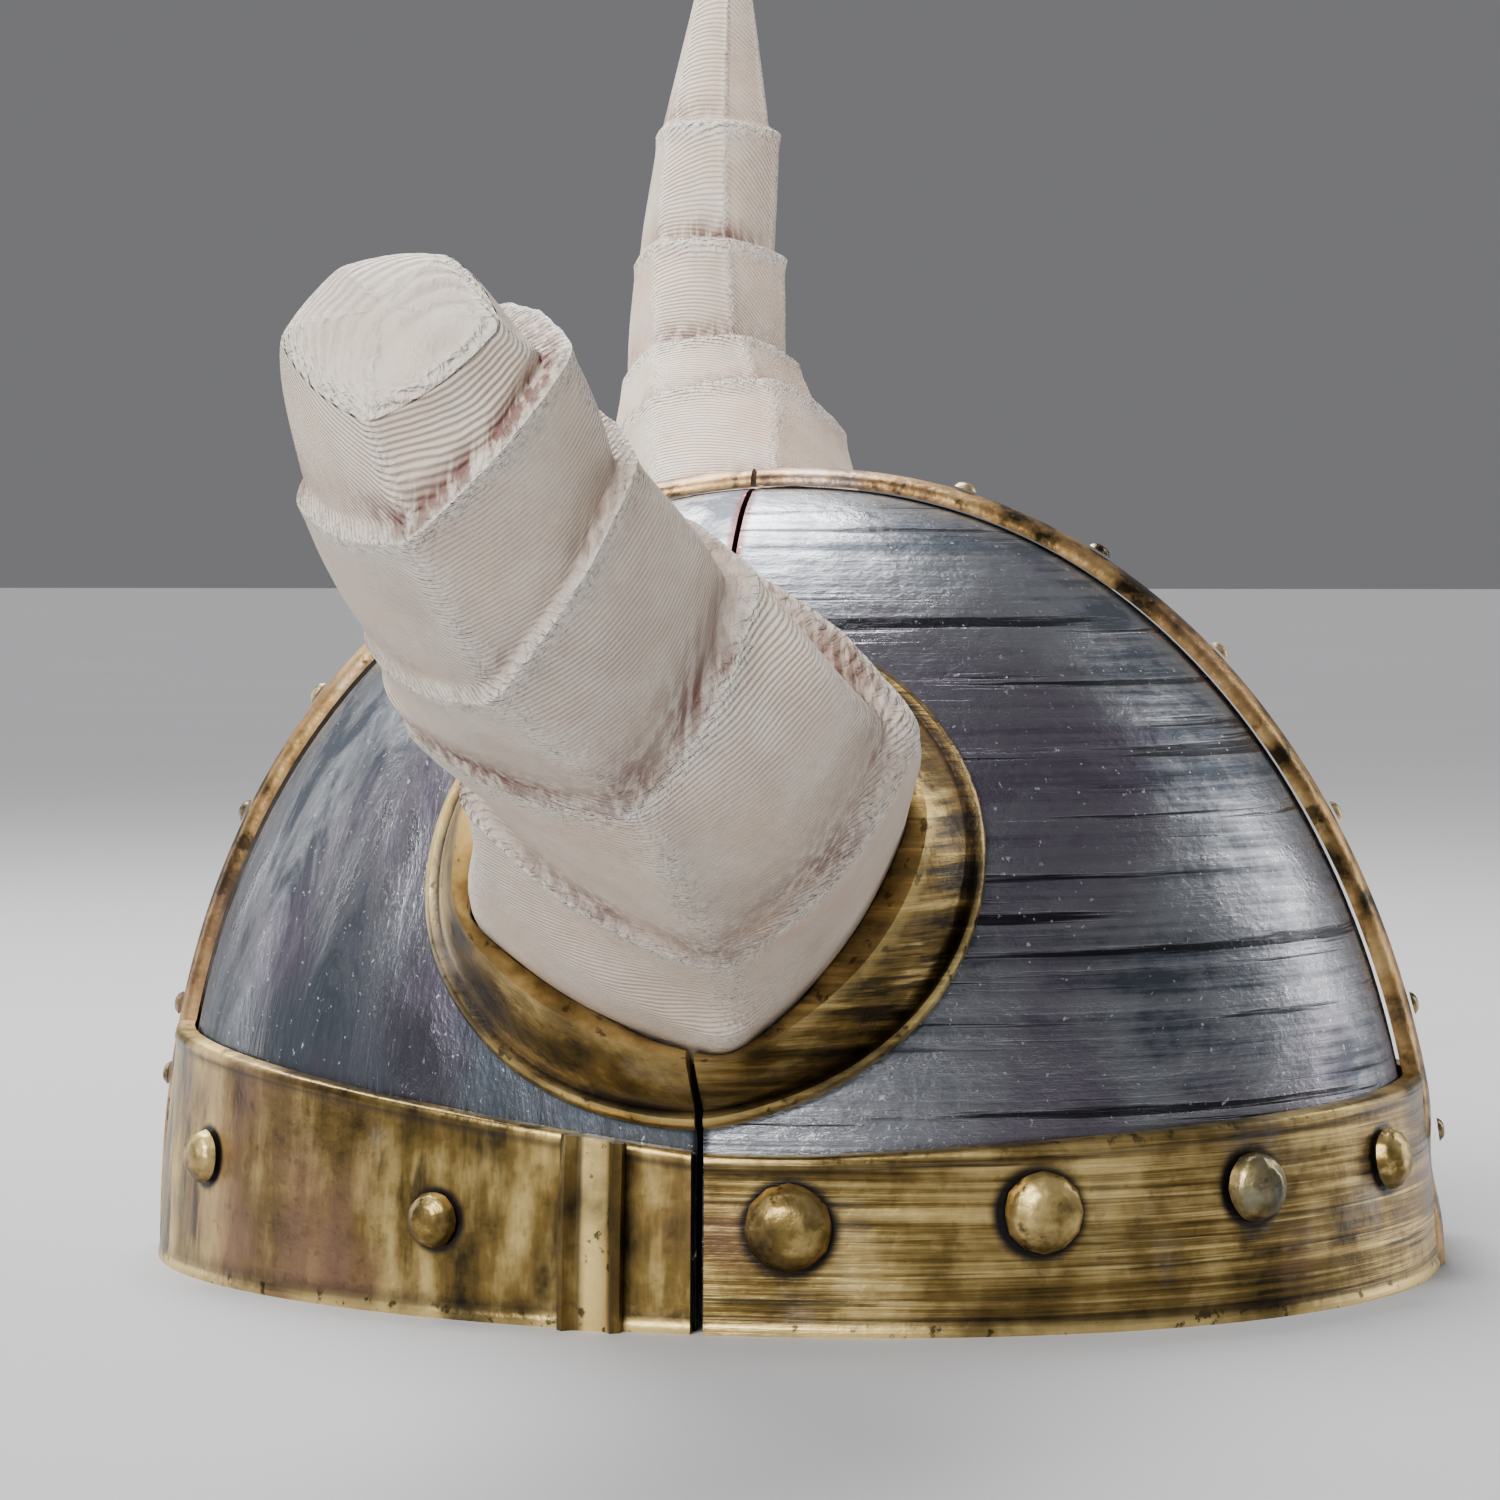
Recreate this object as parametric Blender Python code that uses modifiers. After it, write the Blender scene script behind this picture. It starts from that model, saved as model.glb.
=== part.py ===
"""Horned helmet: two half shells, brow band, crest, horn sockets, horns and rivets.

Metres, +Z up, +X towards the front. The helmet's own frame has the seam between the half
shells at x = 0, the plane of symmetry at y = 0 and the rim on z = 0. A parent empty then
puts the middle of the whole helmet's footprint on the origin.
"""

from math import acos, atan2, cos, hypot, pi, radians, sin

import bmesh
import bpy
from mathutils import Matrix, Vector

# Dome, the outside of the half shells
DOME_HALF_LENGTH = 0.1133
DOME_HALF_WIDTH = 0.0920
DOME_HEIGHT = 0.1397
DOME_CENTRE_X = 0.0068
PLAN_EGG = 0.08
FULLNESS = 2.1
FULLNESS_TO_BACK = 0.1
SHELL_WALL = 0.003
DOME_SEGMENTS = 48

# Seam between the halves, wider where the band and the sockets spring apart
SEAM_GAP_DOME = 0.001
SEAM_GAP_SOCKET = 0.0014
SEAM_GAP_BAND = 0.0022

# Clearance between pieces that touch
FIT = 0.0003

# Brow band
BAND_THICKNESS = 0.0026
BAND_HEIGHT_SIDE = 0.0287
BAND_HEIGHT_FRONT = 0.0345
BAND_HEIGHT_BACK = 0.042
BAND_LIP_HEIGHT = 0.0020
BAND_LIP_PROUD = 0.0006
BAND_STEPS = 14

# Crest
CREST_HALF_WIDTH = 0.0065
CREST_PROUD_RIM = 0.0045
CREST_PROUD_TOP = 0.0033
CREST_STEPS = 26
CREST_NOTCH_HEIGHT = 0.015
CREST_NOTCH_REACH = 0.007
CREST_NOTCH_DEPTH = 0.0026

# Band rivets
RIVET_RADIUS = 0.0074
RIVET_RISE_SHARE = 0.72

# Crest studs
STUD_RADIUS = 0.0024
STUD_RISE = 0.0014

# Side battens on the back half of the band
BATTEN_WIDTH = 0.0105
BATTEN_SETBACK = 0.017
BATTEN_RIB_PROUD = 0.0026
BATTEN_WEB_PROUD = 0.0009
BATTEN_RIB_SHARE = 0.24

# Horn sockets
SOCKET_RADIUS_ALONG = 0.0487
SOCKET_RADIUS_UP = 0.0452
SOCKET_CENTRE_X = -0.0015
SOCKET_CENTRE_HEIGHT = 0.077
SOCKET_TILT = 24.0
SOCKET_BEAD_WIDTH = 0.0026
SOCKET_BEAD_PROUD = 0.0026
SOCKET_COLLAR_RISE = 0.0115
SOCKET_COLLAR_SHARE = 0.42
SOCKET_COLLAR_DROP = 0.0022
SOCKET_SEAT_GAP = 0.0006

# Horns
HORN_ROOT_RADIUS = 0.0371
HORN_OUT = 0.148
HORN_UP = 0.204
HORN_BACK = 0.034
HORN_LIP = 0.0062
HORN_LIP_STEP = 0.0022
HORN_FLATNESS = 0.575
STUMP_CROWN = 0.0035
ROOT_CORNER = -78.0

# Sections of the crest across its width: shares of the half width and of the proud height
CREST_PROFILE = (
    # across, rise
    (1.00, 0.30),
    (0.86, 0.72),
    (0.45, 0.95),
    (0.00, 1.00),
    (-0.45, 0.95),
    (-0.86, 0.72),
    (-1.00, 0.30),
)

# Rivets of one side of the band: plan angle from the front in degrees, height as a share of the
# band's height there, radius as a share of RIVET_RADIUS
RIVETS_FRONT = (
    # angle, height, radius
    (22.0, 0.683, 0.74),
    (43.3, 0.670, 0.81),
    (64.6, 0.640, 0.93),
    (85.9, 0.610, 1.00),
)
RIVETS_BACK = (
    (117.0, 0.470, 0.65),
    (149.5, 0.540, 0.65),
)

# Places of the crest studs: how far round the crest's height from the rim to the top, in degrees
STUDS_FRONT = (9.6, 19.0, 34.4, 50.0, 63.1, 75.9)
STUDS_BACK = (12.7, 18.1, 34.0, 45.3, 58.2, 72.8)

# Corners of a horn's section, counted round from its lowest corner in degrees
HORN_CORNERS = (
    # angle, radius share
    (0.0, 1.04),
    (85.3, 0.97),
    (154.8, 0.72),
    (229.5, 0.86),
    (279.9, 1.05),
)
FACETS_PER_SIDE = 4

# Growth rings of the horns from the root to the tip. Places are shares of HORN_OUT, HORN_UP and
# HORN_BACK from the socket's centre, radius a share of HORN_ROOT_RADIUS, lip a share of
# HORN_LIP, corner the angle of the lowest corner in degrees, lean the slope of the ring's plane
# towards the front and upwards. The last row of each is its end.
RINGS_LOWER = (
    # out, up, back, radius, lip, corner, lean front, lean up
    (0.335, 0.109, -0.14, 0.987, 0.89, -84.0, 0.15, -0.71),
    (0.496, 0.191, 0.28, 0.798, 0.78, -71.9, 0.22, -0.43),
)
RINGS_STUMP = (
    (0.597, 0.265, 0.55, 0.803, 0.79, -87.0, -0.40, -0.15),
    (0.717, 0.350, 0.74, 0.703, 1.02, -93.7, -0.36, 0.05),
    (0.808, 0.409, 0.85, 0.461, 0.00, -97.8, 0.00, -0.14),
)
RINGS_WHOLE = (
    (0.586, 0.254, 0.49, 0.803, 0.75, -88.0, 0.00, 0.00),
    (0.735, 0.367, 0.72, 0.747, 0.90, -98.0, 0.00, 0.00),
    (0.820, 0.447, 0.86, 0.534, 0.60, -95.0, 0.00, 0.00),
    (0.890, 0.570, 0.91, 0.466, 0.50, -88.0, 0.00, 0.00),
    (0.940, 0.710, 0.89, 0.394, 0.40, -80.0, 0.00, 0.00),
    (1.000, 1.000, 0.84, 0.033, 0.00, -80.0, 0.00, 0.00),
)

SILVER = ("silver_paint", (0.40, 0.41, 0.45), 0.32, 0.85)
GOLD = ("antique_gold_paint", (0.46, 0.33, 0.12), 0.34, 0.90)
BONE = ("bone_paint", (0.66, 0.58, 0.53), 0.70, 0.0)


def clear_scene():
    """Starts from an empty scene."""
    for item in list(bpy.data.objects):
        bpy.data.objects.remove(item, do_unlink=True)


def make_collection(name):
    """Adds a collection to the scene."""
    group = bpy.data.collections.new(name)
    bpy.context.scene.collection.children.link(group)
    return group


def make_material(name, colour, roughness, metallic):
    """A painted surface."""
    material = bpy.data.materials.new(name)
    material.use_nodes = True
    shader = material.node_tree.nodes["Principled BSDF"]
    shader.inputs["Base Color"].default_value = (*colour, 1.0)
    shader.inputs["Roughness"].default_value = roughness
    shader.inputs["Metallic"].default_value = metallic
    return material


def add_piece(name, bm, finish, sharp_angle=35.0):
    """Turns a bmesh into a named piece of the helmet with its own material."""
    bmesh.ops.recalc_face_normals(bm, faces=bm.faces)
    mesh = bpy.data.meshes.new(name)
    bm.to_mesh(mesh)
    bm.free()
    mesh.shade_smooth()
    mesh.set_sharp_from_angle(angle=radians(sharp_angle))
    piece = bpy.data.objects.new(name, mesh)
    label, colour, roughness, metallic = finish
    mesh.materials.append(make_material(f"{label}_{name}", colour, roughness, metallic))
    PARTS.objects.link(piece)
    piece.parent = FRAME
    return piece


def loft(rings):
    """Closed body through closed rings of points, with a flat face on each end."""
    bm = bmesh.new()
    rows = [[bm.verts.new(point) for point in ring] for ring in rings]
    for row, following in zip(rows, rows[1:]):
        count = len(row)
        for i in range(count):
            j = (i + 1) % count
            bm.faces.new((row[i], row[j], following[j], following[i]))
    bm.faces.new(list(reversed(rows[0])))
    bm.faces.new(rows[-1])
    return bm


def mirrored(points):
    """The same ring on the other side of the helmet."""
    return [Vector((p.x, -p.y, p.z)) for p in points]


def on_side(rings, side):
    """Rings made for the right side, kept or mirrored to the left."""
    if side == "right":
        return rings
    return [mirrored(ring) for ring in rings]


def halve(low, high, too_far):
    """Value between low and high where a test turns true, by halving."""
    for _ in range(48):
        middle = (low + high) / 2
        if too_far(middle):
            high = middle
        else:
            low = middle
    return (low + high) / 2


def widening(x):
    """Share by which the plan is wider than its mean at x, more towards the front."""
    return 1 + PLAN_EGG * (x - DOME_CENTRE_X) / DOME_HALF_LENGTH


def fullness(x):
    """Exponent of the dome's upright profile: 2 is an ellipse, more is fuller."""
    return FULLNESS - FULLNESS_TO_BACK * (x - DOME_CENTRE_X) / DOME_HALF_LENGTH


def skin_excess(point, proud):
    """Below zero inside the dome, above zero outside."""
    along = (point.x - DOME_CENTRE_X) / (DOME_HALF_LENGTH + proud)
    across = point.y / ((DOME_HALF_WIDTH + proud) * widening(point.x))
    power = fullness(point.x)
    rise = abs(point.z) / (DOME_HEIGHT + proud)
    return hypot(along, across) ** power + rise ** power - 1


def skin_at_level(angle, height, proud):
    """Point on the dome at a plan angle from the front and a height, proud of the skin."""
    share = 1.0
    for _ in range(8):
        x = DOME_CENTRE_X + (DOME_HALF_LENGTH + proud) * share * cos(angle)
        power = fullness(x)
        share = max(0.0, 1 - (abs(height) / (DOME_HEIGHT + proud)) ** power) ** (1 / power)
    x = DOME_CENTRE_X + (DOME_HALF_LENGTH + proud) * share * cos(angle)
    y = (DOME_HALF_WIDTH + proud) * share * sin(angle) * widening(x)
    return Vector((x, y, height))


def angle_at_x(x, height, proud):
    """Plan angle at which the level outline crosses a plane of constant x."""
    return halve(0.0, pi, lambda angle: skin_at_level(angle, height, proud).x < x)


def angle_at_side(across, height, proud, front):
    """Plan angle at which the level outline leaves the crest's side, at the front or the back."""
    if front:
        return halve(0.0, pi / 2, lambda angle: skin_at_level(angle, height, proud).y > across)
    return halve(pi / 2, pi, lambda angle: skin_at_level(angle, height, proud).y < across)


def distance_to_skin(point, direction, proud):
    """Distance along a direction from a point to the dome's skin."""
    reach = 2 * DOME_HALF_LENGTH
    return halve(-reach / 2, reach, lambda t: skin_excess(point + direction * t, proud) > 0)


def crest_direction(angle):
    """Direction over the top from the dome's middle, counted from the front rim."""
    return Vector((DOME_HALF_LENGTH * cos(angle), 0.0, DOME_HEIGHT * sin(angle))).normalized()


def skin_along_crest(angle, across, proud):
    """Point on the dome at an angle over the top from the front rim, beside the crest line."""
    middle = Vector((DOME_CENTRE_X, across, 0.0))
    direction = crest_direction(angle)
    return middle + direction * distance_to_skin(middle, direction, proud)


def crest_angle_at_x(x, across, proud):
    """Angle over the top at which the crest crosses a plane of constant x."""
    return halve(0.0, pi, lambda angle: skin_along_crest(angle, across, proud).x < x)


def skin_normal(point, proud):
    """Outward direction of the dome's skin at a point."""
    step = 1e-5
    grown = [skin_excess(point + Vector(d) * step, proud) for d in ((1, 0, 0), (0, 1, 0), (0, 0, 1))]
    here = skin_excess(point, proud)
    return Vector([value - here for value in grown]).normalized()


def box_cutter(name, low, high):
    """A block that takes away what it covers."""
    bm = bmesh.new()
    bmesh.ops.create_cube(bm, size=1.0)
    centre = (Vector(low) + Vector(high)) / 2
    size = Vector(high) - Vector(low)
    bmesh.ops.scale(bm, vec=size, verts=bm.verts)
    bmesh.ops.translate(bm, vec=centre, verts=bm.verts)
    mesh = bpy.data.meshes.new(name)
    bm.to_mesh(mesh)
    bm.free()
    cutter = bpy.data.objects.new(name, mesh)
    cutter.hide_render = True
    cutter.display_type = "WIRE"
    CUTTERS.objects.link(cutter)
    cutter.parent = FRAME
    return cutter


def dome_surface():
    """Open skin of the dome, carried on a little below the rim."""
    bm = bmesh.new()
    bmesh.ops.create_uvsphere(bm, u_segments=DOME_SEGMENTS, v_segments=DOME_SEGMENTS // 2, radius=1.0)
    ring_below_rim = sin(pi / (DOME_SEGMENTS // 2))
    low = [v for v in bm.verts if v.co.z < -ring_below_rim * 1.01]
    bmesh.ops.delete(bm, geom=low, context="VERTS")
    for vert in bm.verts:
        x, y, z = vert.co
        vert.co = skin_at_level(atan2(y, x), DOME_HEIGHT * z, 0.0)
    return bm


def half_shell(name, cutters):
    """One half of the dome's wall, trimmed flat at the rim and at the seam."""
    shell = add_piece(name, dome_surface(), SILVER)
    wall = shell.modifiers.new("wall", "SOLIDIFY")
    wall.thickness = SHELL_WALL
    wall.offset = -1
    wall.use_even_offset = True
    for cutter in cutters:
        trim = shell.modifiers.new(cutter.name, "BOOLEAN")
        trim.operation = "DIFFERENCE"
        trim.solver = "EXACT"
        trim.object = cutter
    return shell


def build_shells():
    """Front and back half of the dome."""
    reach = 2 * DOME_HALF_LENGTH
    below = box_cutter("cut_below_rim", (-reach, -reach, -reach), (reach, reach, 0))
    edge = SEAM_GAP_DOME / 2
    ahead = box_cutter("cut_ahead_of_seam", (-edge, -reach, -reach), (reach, reach, reach))
    behind = box_cutter("cut_behind_seam", (-reach, -reach, -reach), (edge, reach, reach))
    half_shell("shell_front", (below, behind))
    half_shell("shell_rear", (below, ahead))


def band_height(angle):
    """Height of the band at a plan angle from the front."""
    along = cos(angle)
    end = BAND_HEIGHT_FRONT if along > 0 else BAND_HEIGHT_BACK
    return BAND_HEIGHT_SIDE + (end - BAND_HEIGHT_SIDE) * abs(along)


def band_outside(height):
    """Outer face of the band from the rim up: how proud it is of the dome at each height."""
    flat = FIT + BAND_THICKNESS
    lip = flat + BAND_LIP_PROUD
    bevel = BAND_LIP_PROUD
    top = height - BAND_LIP_HEIGHT
    return (
        (0.0, lip),
        (BAND_LIP_HEIGHT - bevel, lip),
        (BAND_LIP_HEIGHT, flat),
        ((BAND_LIP_HEIGHT + top) / 2, flat),
        (top - bevel, flat),
        (top, lip),
        (height - bevel, lip),
        (height, flat),
    )


def band_inside(height, steps=4):
    """Inner face of the band from its top down to the rim, on the dome."""
    return [(height * (steps - i) / steps, FIT) for i in range(steps + 1)]


def band_rings(front):
    """Sections of the right-hand band of one half, from the crest to the seam."""
    seam_x = SEAM_GAP_BAND / 2 if front else -SEAM_GAP_BAND / 2
    side = CREST_HALF_WIDTH + FIT
    rings = []
    for step in range(BAND_STEPS + 1):
        share = step / BAND_STEPS
        first = angle_at_side(side, 0.0, FIT, front)
        height = band_height(first + (angle_at_x(seam_x, 0.0, FIT) - first) * share)
        ring = []
        for z, proud in [*band_outside(height), *band_inside(height)]:
            start = angle_at_side(side, z, proud, front)
            end = angle_at_x(seam_x, z, proud)
            ring.append(skin_at_level(-(start + (end - start) * share), z, proud))
        rings.append(ring)
    return rings


def build_bands():
    """Four lengths of brow band between the crest and the seam."""
    for front, end in ((True, "front"), (False, "rear")):
        for side in ("right", "left"):
            add_piece(f"band_{side}_{end}", loft(on_side(band_rings(front), side)), GOLD)


def notch_depth(height):
    """How much the brow lug dips at a height above the rim."""
    away = abs(height - CREST_NOTCH_HEIGHT) / CREST_NOTCH_REACH
    if away >= 1:
        return 0.0
    return CREST_NOTCH_DEPTH * (0.5 + 0.5 * cos(pi * away))


def crest_proud(share):
    """How proud of the dome the crest stands, at a share of the way from the rim to the top."""
    return CREST_PROUD_RIM + (CREST_PROUD_TOP - CREST_PROUD_RIM) * share


def crest_rings(front):
    """Sections of one half of the crest, from the rim up to the seam."""
    seam_x = SEAM_GAP_DOME / 2 if front else -SEAM_GAP_DOME / 2
    under = [(-1.0, 0.0), (-0.5, 0.0), (0.0, 0.0), (0.5, 0.0), (1.0, 0.0)]
    rings = []
    for step in range(CREST_STEPS + 1):
        share = step / CREST_STEPS
        ring = []
        for across, rise in [*CREST_PROFILE, *under]:
            y = across * CREST_HALF_WIDTH
            level = DOME_HEIGHT * sin(share * pi / 2)
            proud = crest_proud(share) - (notch_depth(level) if front else 0.0)
            lift = FIT + (proud - FIT) * rise
            end = crest_angle_at_x(seam_x, y, lift)
            angle = end * share if front else pi - (pi - end) * share
            ring.append(skin_along_crest(angle, y, lift))
        rings.append(ring)
    return rings


def build_crest():
    """Ridge over the dome from the front rim to the back rim."""
    add_piece("crest_front", loft(crest_rings(True)), GOLD)
    add_piece("crest_rear", loft(crest_rings(False)), GOLD)


def dome_head(radius, rise, sides, bands):
    """Round head with a flat back on z = 0."""
    bm = bmesh.new()
    bmesh.ops.create_uvsphere(bm, u_segments=sides, v_segments=2 * bands, radius=1.0)
    low = [v for v in bm.verts if v.co.z < -0.001]
    bmesh.ops.delete(bm, geom=low, context="VERTS")
    edge = [e for e in bm.edges if e.is_boundary]
    bmesh.ops.holes_fill(bm, edges=edge, sides=0)
    bmesh.ops.scale(bm, vec=(radius, radius, rise), verts=bm.verts)
    return bm


def seat_head(bm, seat, normal):
    """Moves a head so that its flat back lies a clearance above its seat."""
    turn = normal.to_track_quat("Z", "Y").to_matrix().to_4x4()
    place = Matrix.Translation(seat + normal * FIT) @ turn
    bmesh.ops.transform(bm, matrix=place, verts=bm.verts)


def band_rivet(name, angle, height, radius, side):
    """One rivet on the flat of the band."""
    proud = FIT + BAND_THICKNESS
    turn = angle if side == "left" else -angle
    seat = skin_at_level(turn, height, proud)
    head = dome_head(radius, radius * RIVET_RISE_SHARE, 12, 3)
    seat_head(head, seat, skin_normal(seat, proud))
    add_piece(name, head, GOLD)


def build_rivets():
    """Rivets of the band, larger on the front half."""
    for end, rows in (("front", RIVETS_FRONT), ("rear", RIVETS_BACK)):
        for side in ("right", "left"):
            for i, (degree, height_share, radius_share) in enumerate(rows):
                angle = radians(degree)
                height = band_height(angle) * height_share
                radius = RIVET_RADIUS * radius_share
                band_rivet(f"rivet_{end}_{side}_{i + 1}", angle, height, radius, side)


def crest_angle_at_level(level, proud, front):
    """Angle over the top at which the crest's ridge reaches a height, at the front or the back."""
    if front:
        return halve(0.0, pi / 2, lambda angle: skin_along_crest(angle, 0.0, proud).z > level)
    return halve(pi / 2, pi, lambda angle: skin_along_crest(angle, 0.0, proud).z < level)


def build_studs():
    """Small studs along the ridge of the crest."""
    for end, degrees in (("front", STUDS_FRONT), ("rear", STUDS_BACK)):
        for i, degree in enumerate(degrees):
            level = (DOME_HEIGHT + CREST_PROUD_TOP) * sin(radians(degree))
            proud = crest_proud(degree / 90)
            if end == "front":
                proud -= notch_depth(level)
            seat = skin_along_crest(crest_angle_at_level(level, proud, end == "front"), 0.0, proud)
            head = dome_head(STUD_RADIUS, STUD_RISE, 8, 2)
            seat_head(head, seat, skin_normal(seat, proud))
            add_piece(f"stud_{end}_{i + 1}", head, GOLD)


def batten_rings():
    """Sections of the right-hand batten from the rim to the band's top, over its lips."""
    middle = angle_at_x(-BATTEN_SETBACK, 0.0, 0.0)
    half = BATTEN_WIDTH / 2 / DOME_HALF_LENGTH
    rib = BATTEN_RIB_SHARE * 2
    section = (
        # across, proud
        (-1.0, BATTEN_RIB_PROUD * 0.6),
        (-1.0 + rib / 2, BATTEN_RIB_PROUD),
        (-1.0 + rib, BATTEN_WEB_PROUD),
        (0.0, BATTEN_WEB_PROUD * 0.8),
        (1.0 - rib, BATTEN_WEB_PROUD),
        (1.0 - rib / 2, BATTEN_RIB_PROUD),
        (1.0, BATTEN_RIB_PROUD * 0.6),
    )
    flat = FIT + BAND_THICKNESS + BAND_LIP_PROUD + FIT
    rings = []
    for station in range(len(band_outside(BAND_HEIGHT_SIDE))):
        ring = []
        for u, rise in section:
            angle = middle + half * u
            z, _ = band_outside(band_height(angle))[station]
            ring.append(skin_at_level(-angle, z, flat + rise))
        for u in (1.0, 0.0, -1.0):
            angle = middle + half * u
            z, seat = band_outside(band_height(angle))[station]
            ring.append(skin_at_level(-angle, z, seat + FIT))
        rings.append(ring)
    return rings


def build_battens():
    """Upright double rib beside the seam on each side."""
    for side in ("right", "left"):
        add_piece(f"batten_{side}", loft(on_side(batten_rings(), side)), GOLD)


def socket_axes():
    """Centre of the right-hand socket on the dome, with its outward, front and up directions."""
    start = Vector((SOCKET_CENTRE_X, 0.0, SOCKET_CENTRE_HEIGHT))
    side = Vector((0.0, -1.0, 0.0))
    centre = start + side * distance_to_skin(start, side, 0.0)
    tilt = radians(SOCKET_TILT)
    outward = Vector((0.0, -cos(tilt), sin(tilt)))
    front = Vector((1.0, 0.0, 0.0))
    up = outward.cross(front)
    return centre, outward, front, up


def section_share(angle):
    """Radius of a horn's rounded five-cornered section, as a share, from its lowest corner."""
    turn = angle % (2 * pi)
    corners = [(radians(degree), radius) for degree, radius in HORN_CORNERS]
    corners.append((2 * pi, corners[0][1]))
    for (low, near), (high, far) in zip(corners, corners[1:]):
        if low <= turn <= high:
            break
    share = (turn - low) / (high - low)
    flat = near * far * sin(high - low) / (near * sin(turn - low) + far * sin(high - turn))
    round_side = near + (far - near) * share
    return round_side * (1 - HORN_FLATNESS) + flat * HORN_FLATNESS


def section_angles():
    """Angles of a horn section's points from its lowest corner, with each corner among them."""
    degrees = [degree for degree, _ in HORN_CORNERS] + [360.0]
    return [
        radians(low + (high - low) * i / FACETS_PER_SIDE)
        for low, high in zip(degrees, degrees[1:])
        for i in range(FACETS_PER_SIDE)
    ]


def horn_seat(centre, outward, front, up):
    """How far out the flat end of a horn's root lies to clear the dome."""
    highest = 0.0
    for step in range(1, 5):
        radius = HORN_ROOT_RADIUS * step / 4
        for angle in section_angles():
            point = centre + (front * cos(angle) + up * sin(angle)) * radius
            highest = max(highest, distance_to_skin(point, outward, 0.0))
    return highest + FIT


def socket_section(angle, centre, outward, front, up):
    """Section of a socket at an angle: radius and height, from the foot round to the bore."""
    spoke = front * cos(angle) + up * sin(angle)

    def skin(radius):
        return distance_to_skin(centre + spoke * radius, outward, SOCKET_SEAT_GAP)

    rim = 1 / hypot(cos(angle) / SOCKET_RADIUS_ALONG, sin(angle) / SOCKET_RADIUS_UP)
    bore = HORN_ROOT_RADIUS * section_share(angle - radians(ROOT_CORNER)) + FIT
    bead = rim - SOCKET_BEAD_WIDTH
    crease = bore + (bead - bore) * SOCKET_COLLAR_SHARE
    rise = SOCKET_COLLAR_RISE
    foot = skin(bead) + SOCKET_BEAD_PROUD * 0.4
    waist = crease + (bead - crease) * 0.5
    return (
        (rim, skin(rim)),
        (rim, skin(rim) + SOCKET_BEAD_PROUD * 0.6),
        (rim - SOCKET_BEAD_WIDTH * 0.4, skin(rim) + SOCKET_BEAD_PROUD),
        (bead, foot),
        (waist, foot + (rise - foot) * 0.6),
        (crease, rise),
        ((crease + bore) / 2, rise - SOCKET_COLLAR_DROP * 0.4),
        (bore, rise - SOCKET_COLLAR_DROP),
        (bore, skin(bore)),
    )


def socket_rings(front_half):
    """Sections of one half of the right-hand socket, cut flat beside the seam."""
    centre, outward, front, up = socket_axes()
    edge = SEAM_GAP_SOCKET / 2 if front_half else -SEAM_GAP_SOCKET / 2

    def cut(radius):
        return acos((edge - centre.x) / radius)

    widest = cut(SOCKET_RADIUS_ALONG)
    margin = radians(4.0)
    turns = sorted((angle + radians(ROOT_CORNER)) % (2 * pi) for angle in section_angles())
    if front_half:
        turns = sorted(turn if turn < pi else turn - 2 * pi for turn in turns)
        turns = [turn for turn in turns if abs(turn) < widest - margin]
        ends = (-1, 1)
    else:
        turns = [turn for turn in turns if widest + margin < turn < 2 * pi - widest - margin]
        ends = (1, -1)
    rings = []
    for turn in [None, *turns, None]:
        end = ends[0] if not rings else ends[1]
        section = socket_section(end * widest if turn is None else turn, centre, outward, front, up)
        ring = []
        for radius, height in section:
            at = end * cut(radius) if turn is None else turn
            ring.append(centre + (front * cos(at) + up * sin(at)) * radius + outward * height)
        rings.append(ring)
    return rings


def build_sockets():
    """Flared cup round each horn's root, in two halves."""
    for side in ("right", "left"):
        for front_half, end in ((True, "front"), (False, "rear")):
            add_piece(f"socket_{side}_{end}", loft(on_side(socket_rings(front_half), side)), GOLD)


def curve_through(points, samples_before):
    """Smooth curve through points: place and direction at each point and between them."""
    out = []
    last = len(points) - 1
    for i in range(last):
        before = points[max(i - 1, 0)]
        after = points[min(i + 2, last)]
        start, end = points[i], points[i + 1]
        run = (end - start).length
        lead = (end - before).normalized() * run if i else (end - start)
        trail = (after - start).normalized() * run if i + 1 < last else (end - start)
        for t in samples_before:
            h00 = 2 * t ** 3 - 3 * t ** 2 + 1
            h10 = t ** 3 - 2 * t ** 2 + t
            h01 = -2 * t ** 3 + 3 * t ** 2
            h11 = t ** 3 - t ** 2
            place = start * h00 + lead * h10 + end * h01 + trail * h11
            out.append((i, t, place))
    out.append((last, 0.0, points[last]))
    return out


def across(direction):
    """Directions to the front and upwards, square to a direction."""
    front = Vector((1.0, 0.0, 0.0))
    front = (front - direction * front.dot(direction)).normalized()
    return front, direction.cross(front)


def leaning(direction, lean):
    """Direction turned by a lean to the front and upwards."""
    front, up = across(direction)
    return (direction + front * lean[0] + up * lean[1]).normalized()


def section_ring(place, direction, radius, corner, lip_height, lip_side=45.0):
    """Five-cornered section of a horn across a direction, lower behind its lip by lip_height."""
    front, up = across(direction)
    ring = []
    for turn in section_angles():
        angle = corner + turn
        facing = max(0.0, cos(angle - radians(lip_side)))
        reach = radius * section_share(turn) - lip_height * (0.25 + 0.75 * facing)
        ring.append(place + (front * cos(angle) + up * sin(angle)) * reach)
    return ring


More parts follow.
